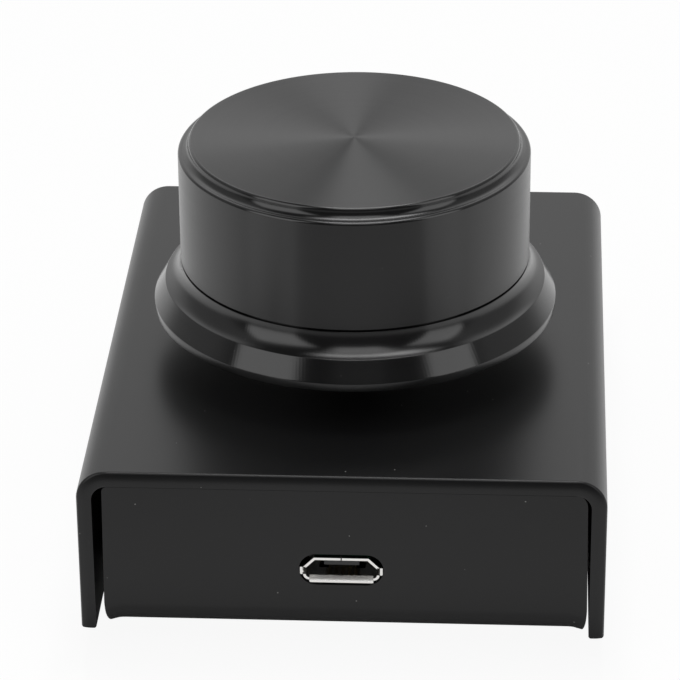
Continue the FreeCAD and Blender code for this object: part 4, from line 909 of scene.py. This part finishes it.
def softened(outline):
    """An outline's stations, with each corner that has a third number rounded to that radius."""
    stations = [outline[0][:2]]
    for before, corner, after in zip(outline, outline[1:], outline[2:]):
        if len(corner) == 2:
            stations.append(corner)
            continue
        here, radius = Vector(corner[:2]), corner[2]
        back = (Vector(before[:2]) - here).normalized()
        on = (Vector(after[:2]) - here).normalized()
        half = back.angle(on) / 2
        middle = here + (back + on).normalized() * radius / sin(half)
        first, last = ((here + way * radius / tan(half) - middle).normalized()
                       for way in (back, on))
        stations += [tuple(middle + first.slerp(last, step / ROUND_STEPS) * radius)
                     for step in range(ROUND_STEPS + 1)]
    return stations + [outline[-1][:2]]


knob_metal_finish = knob_metal()
cove_centre = SKIRT_EDGE_RADIUS - KNOB_RADIUS
cove_drop = sqrt(SKIRT_COVE ** 2 - (SKIRT_COVE - cove_centre) ** 2)
cove_axis = KNOB_RADIUS + SKIRT_COVE
skirt_edge_height = SEAM_HEIGHT - cove_drop
cove_sweep = degrees(atan((SEAM_HEIGHT - skirt_edge_height) / (cove_axis - SKIRT_EDGE_RADIUS)))
recess_radius = SKIRT_RADIUS - RECESS_WALL
outline = [
    (BORE_RADIUS, BORE_END),
    (BORE_RADIUS, 0, KNOB_EDGE),
    (HUB_RADIUS, 0, KNOB_EDGE),
    (HUB_RADIUS, RECESS_ROOF, KNOB_EDGE),
    (recess_radius, RECESS_ROOF, KNOB_EDGE),
    (recess_radius, 0, KNOB_EDGE),
    (SKIRT_RADIUS, 0, KNOB_EDGE),
    (SKIRT_RADIUS, SKIRT_RIM, SKIRT_RIM_ROUND),
    (SKIRT_EDGE_RADIUS, skirt_edge_height, SKIRT_EDGE_ROUND),
]
outline += arc(cove_axis, SEAM_HEIGHT, SKIRT_COVE, 180 + cove_sweep, 180, COVE_STEPS)[:-1]
outline += [
    (KNOB_RADIUS, SEAM_HEIGHT, SEAM_EDGE),
    (KNOB_RADIUS - SEAM_DEPTH, SEAM_HEIGHT),
    (KNOB_RADIUS - SEAM_DEPTH, SEAM_HEIGHT + SEAM_WIDTH),
    (KNOB_RADIUS, SEAM_HEIGHT + SEAM_WIDTH, SEAM_EDGE),
    (KNOB_RADIUS, knob_height - RIM_EDGE - RIM_COVE, RIM_EDGE),
]
outline += arc(KNOB_RADIUS - RIM_EDGE, knob_height - RIM_EDGE, RIM_COVE, 270, 180, COVE_STEPS)
outline.append((rim_radius, knob_height, RIM_EDGE))
outline += [(rim_radius * share, knob_height) for share in TOP_RINGS]
stations = [(radius, floor_of_knob + height) for radius, height in softened(outline)]
knob = turned("knob_turned", KNOB_AXIS, stations, KNOB_SIDES)
grub_hole_middle = (KNOB_AXIS.x, KNOB_RADIUS / 2 + BORE_RADIUS / 2, floor_of_knob + GRUB_RISE)
cut(knob, add_rod("grub_hole", grub_hole_middle, GRUB_HOLE_RADIUS,
                  KNOB_RADIUS + BORE_RADIUS, (0, 1, 0), HOLE_SIDES))
smooth(knob)
knob.data.materials.append(knob_metal_finish)
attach(knob, "turning_knob")
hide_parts("knob_body")


# ---------------------------------------------------------------- other pieces
# The socket, the board with its parts, the encoder with its nut and switch, and the grub screw
# keep their CAD meshes. Each gets the finish that its maker gives it: plated, bare or moulded.

def plated(name, dull, bright, rough_low, rough_high):
    """Plated or bare metal: a soft stain, fine scratches and a slightly uneven sheen."""
    made, place = new_material(name)
    stain = noise(place, 0.6, detail=4.0)
    scratches = noise(place, 1.6, detail=5.0, roughness=0.75, stretch=(1.0, 9.0, 1.0))
    base = stain.blend(dull, bright)
    rough = stain.between(rough_low, rough_high) + (scratches - 0.5) * 0.12
    return surface(made, base, rough, scratches, 0.003 * MM, metallic=1.0)


def moulded(name, dark, light, rough_low, rough_high):
    """Moulded plastic with a fine eroded grain and soft flow marks."""
    made, place = new_material(name)
    grain = noise(place, 9.0, detail=3.0)
    flow = noise(place, 0.5, detail=2.0)
    return surface(made, flow.blend(dark, light), grain.between(rough_low, rough_high),
                   grain, 0.008 * MM)


finishes = {
    "black_screw": black_screw_finish,
    "shaft_metal": plated("shaft_metal", (0.56, 0.56, 0.56), (0.68, 0.68, 0.68), 0.2, 0.3),
    "cast_zinc": plated("cast_zinc", (0.42, 0.42, 0.43), (0.58, 0.58, 0.58), 0.35, 0.5),
    "plated_steel": plated("plated_steel", (0.6, 0.59, 0.55), (0.7, 0.69, 0.64), 0.2, 0.32),
    "spring_steel": plated("spring_steel", (0.5, 0.5, 0.52), (0.64, 0.64, 0.66), 0.18, 0.3),
    "contact_metal": plated("contact_metal", (0.7, 0.52, 0.22), (0.85, 0.68, 0.34), 0.2, 0.32),
    "tinned_metal": plated("tinned_metal", (0.62, 0.62, 0.62), (0.76, 0.76, 0.75), 0.28, 0.42),
    "bright_shell": plated("bright_shell", (0.68, 0.67, 0.65), (0.8, 0.79, 0.77), 0.16, 0.26),
    "black_moulding": moulded("black_moulding", (0.02, 0.02, 0.021), (0.035, 0.035, 0.036), 0.38, 0.55),
    "white_moulding": moulded("white_moulding", (0.76, 0.75, 0.7), (0.84, 0.83, 0.78), 0.35, 0.5),
    "board_laminate": moulded("board_laminate", (0.012, 0.12, 0.05), (0.02, 0.19, 0.08), 0.18, 0.3),
    "chip_ceramic": moulded("chip_ceramic", (0.36, 0.28, 0.2), (0.46, 0.38, 0.28), 0.4, 0.6),
}
slot_of = {part["node"]: part["material_slot"] for part in frame["record"]["subparts"]}
for name, node in frame["nodes"].items():
    if slot_of[name] in finishes:
        node.data.materials.clear()
        node.data.materials.append(finishes[slot_of[name]])
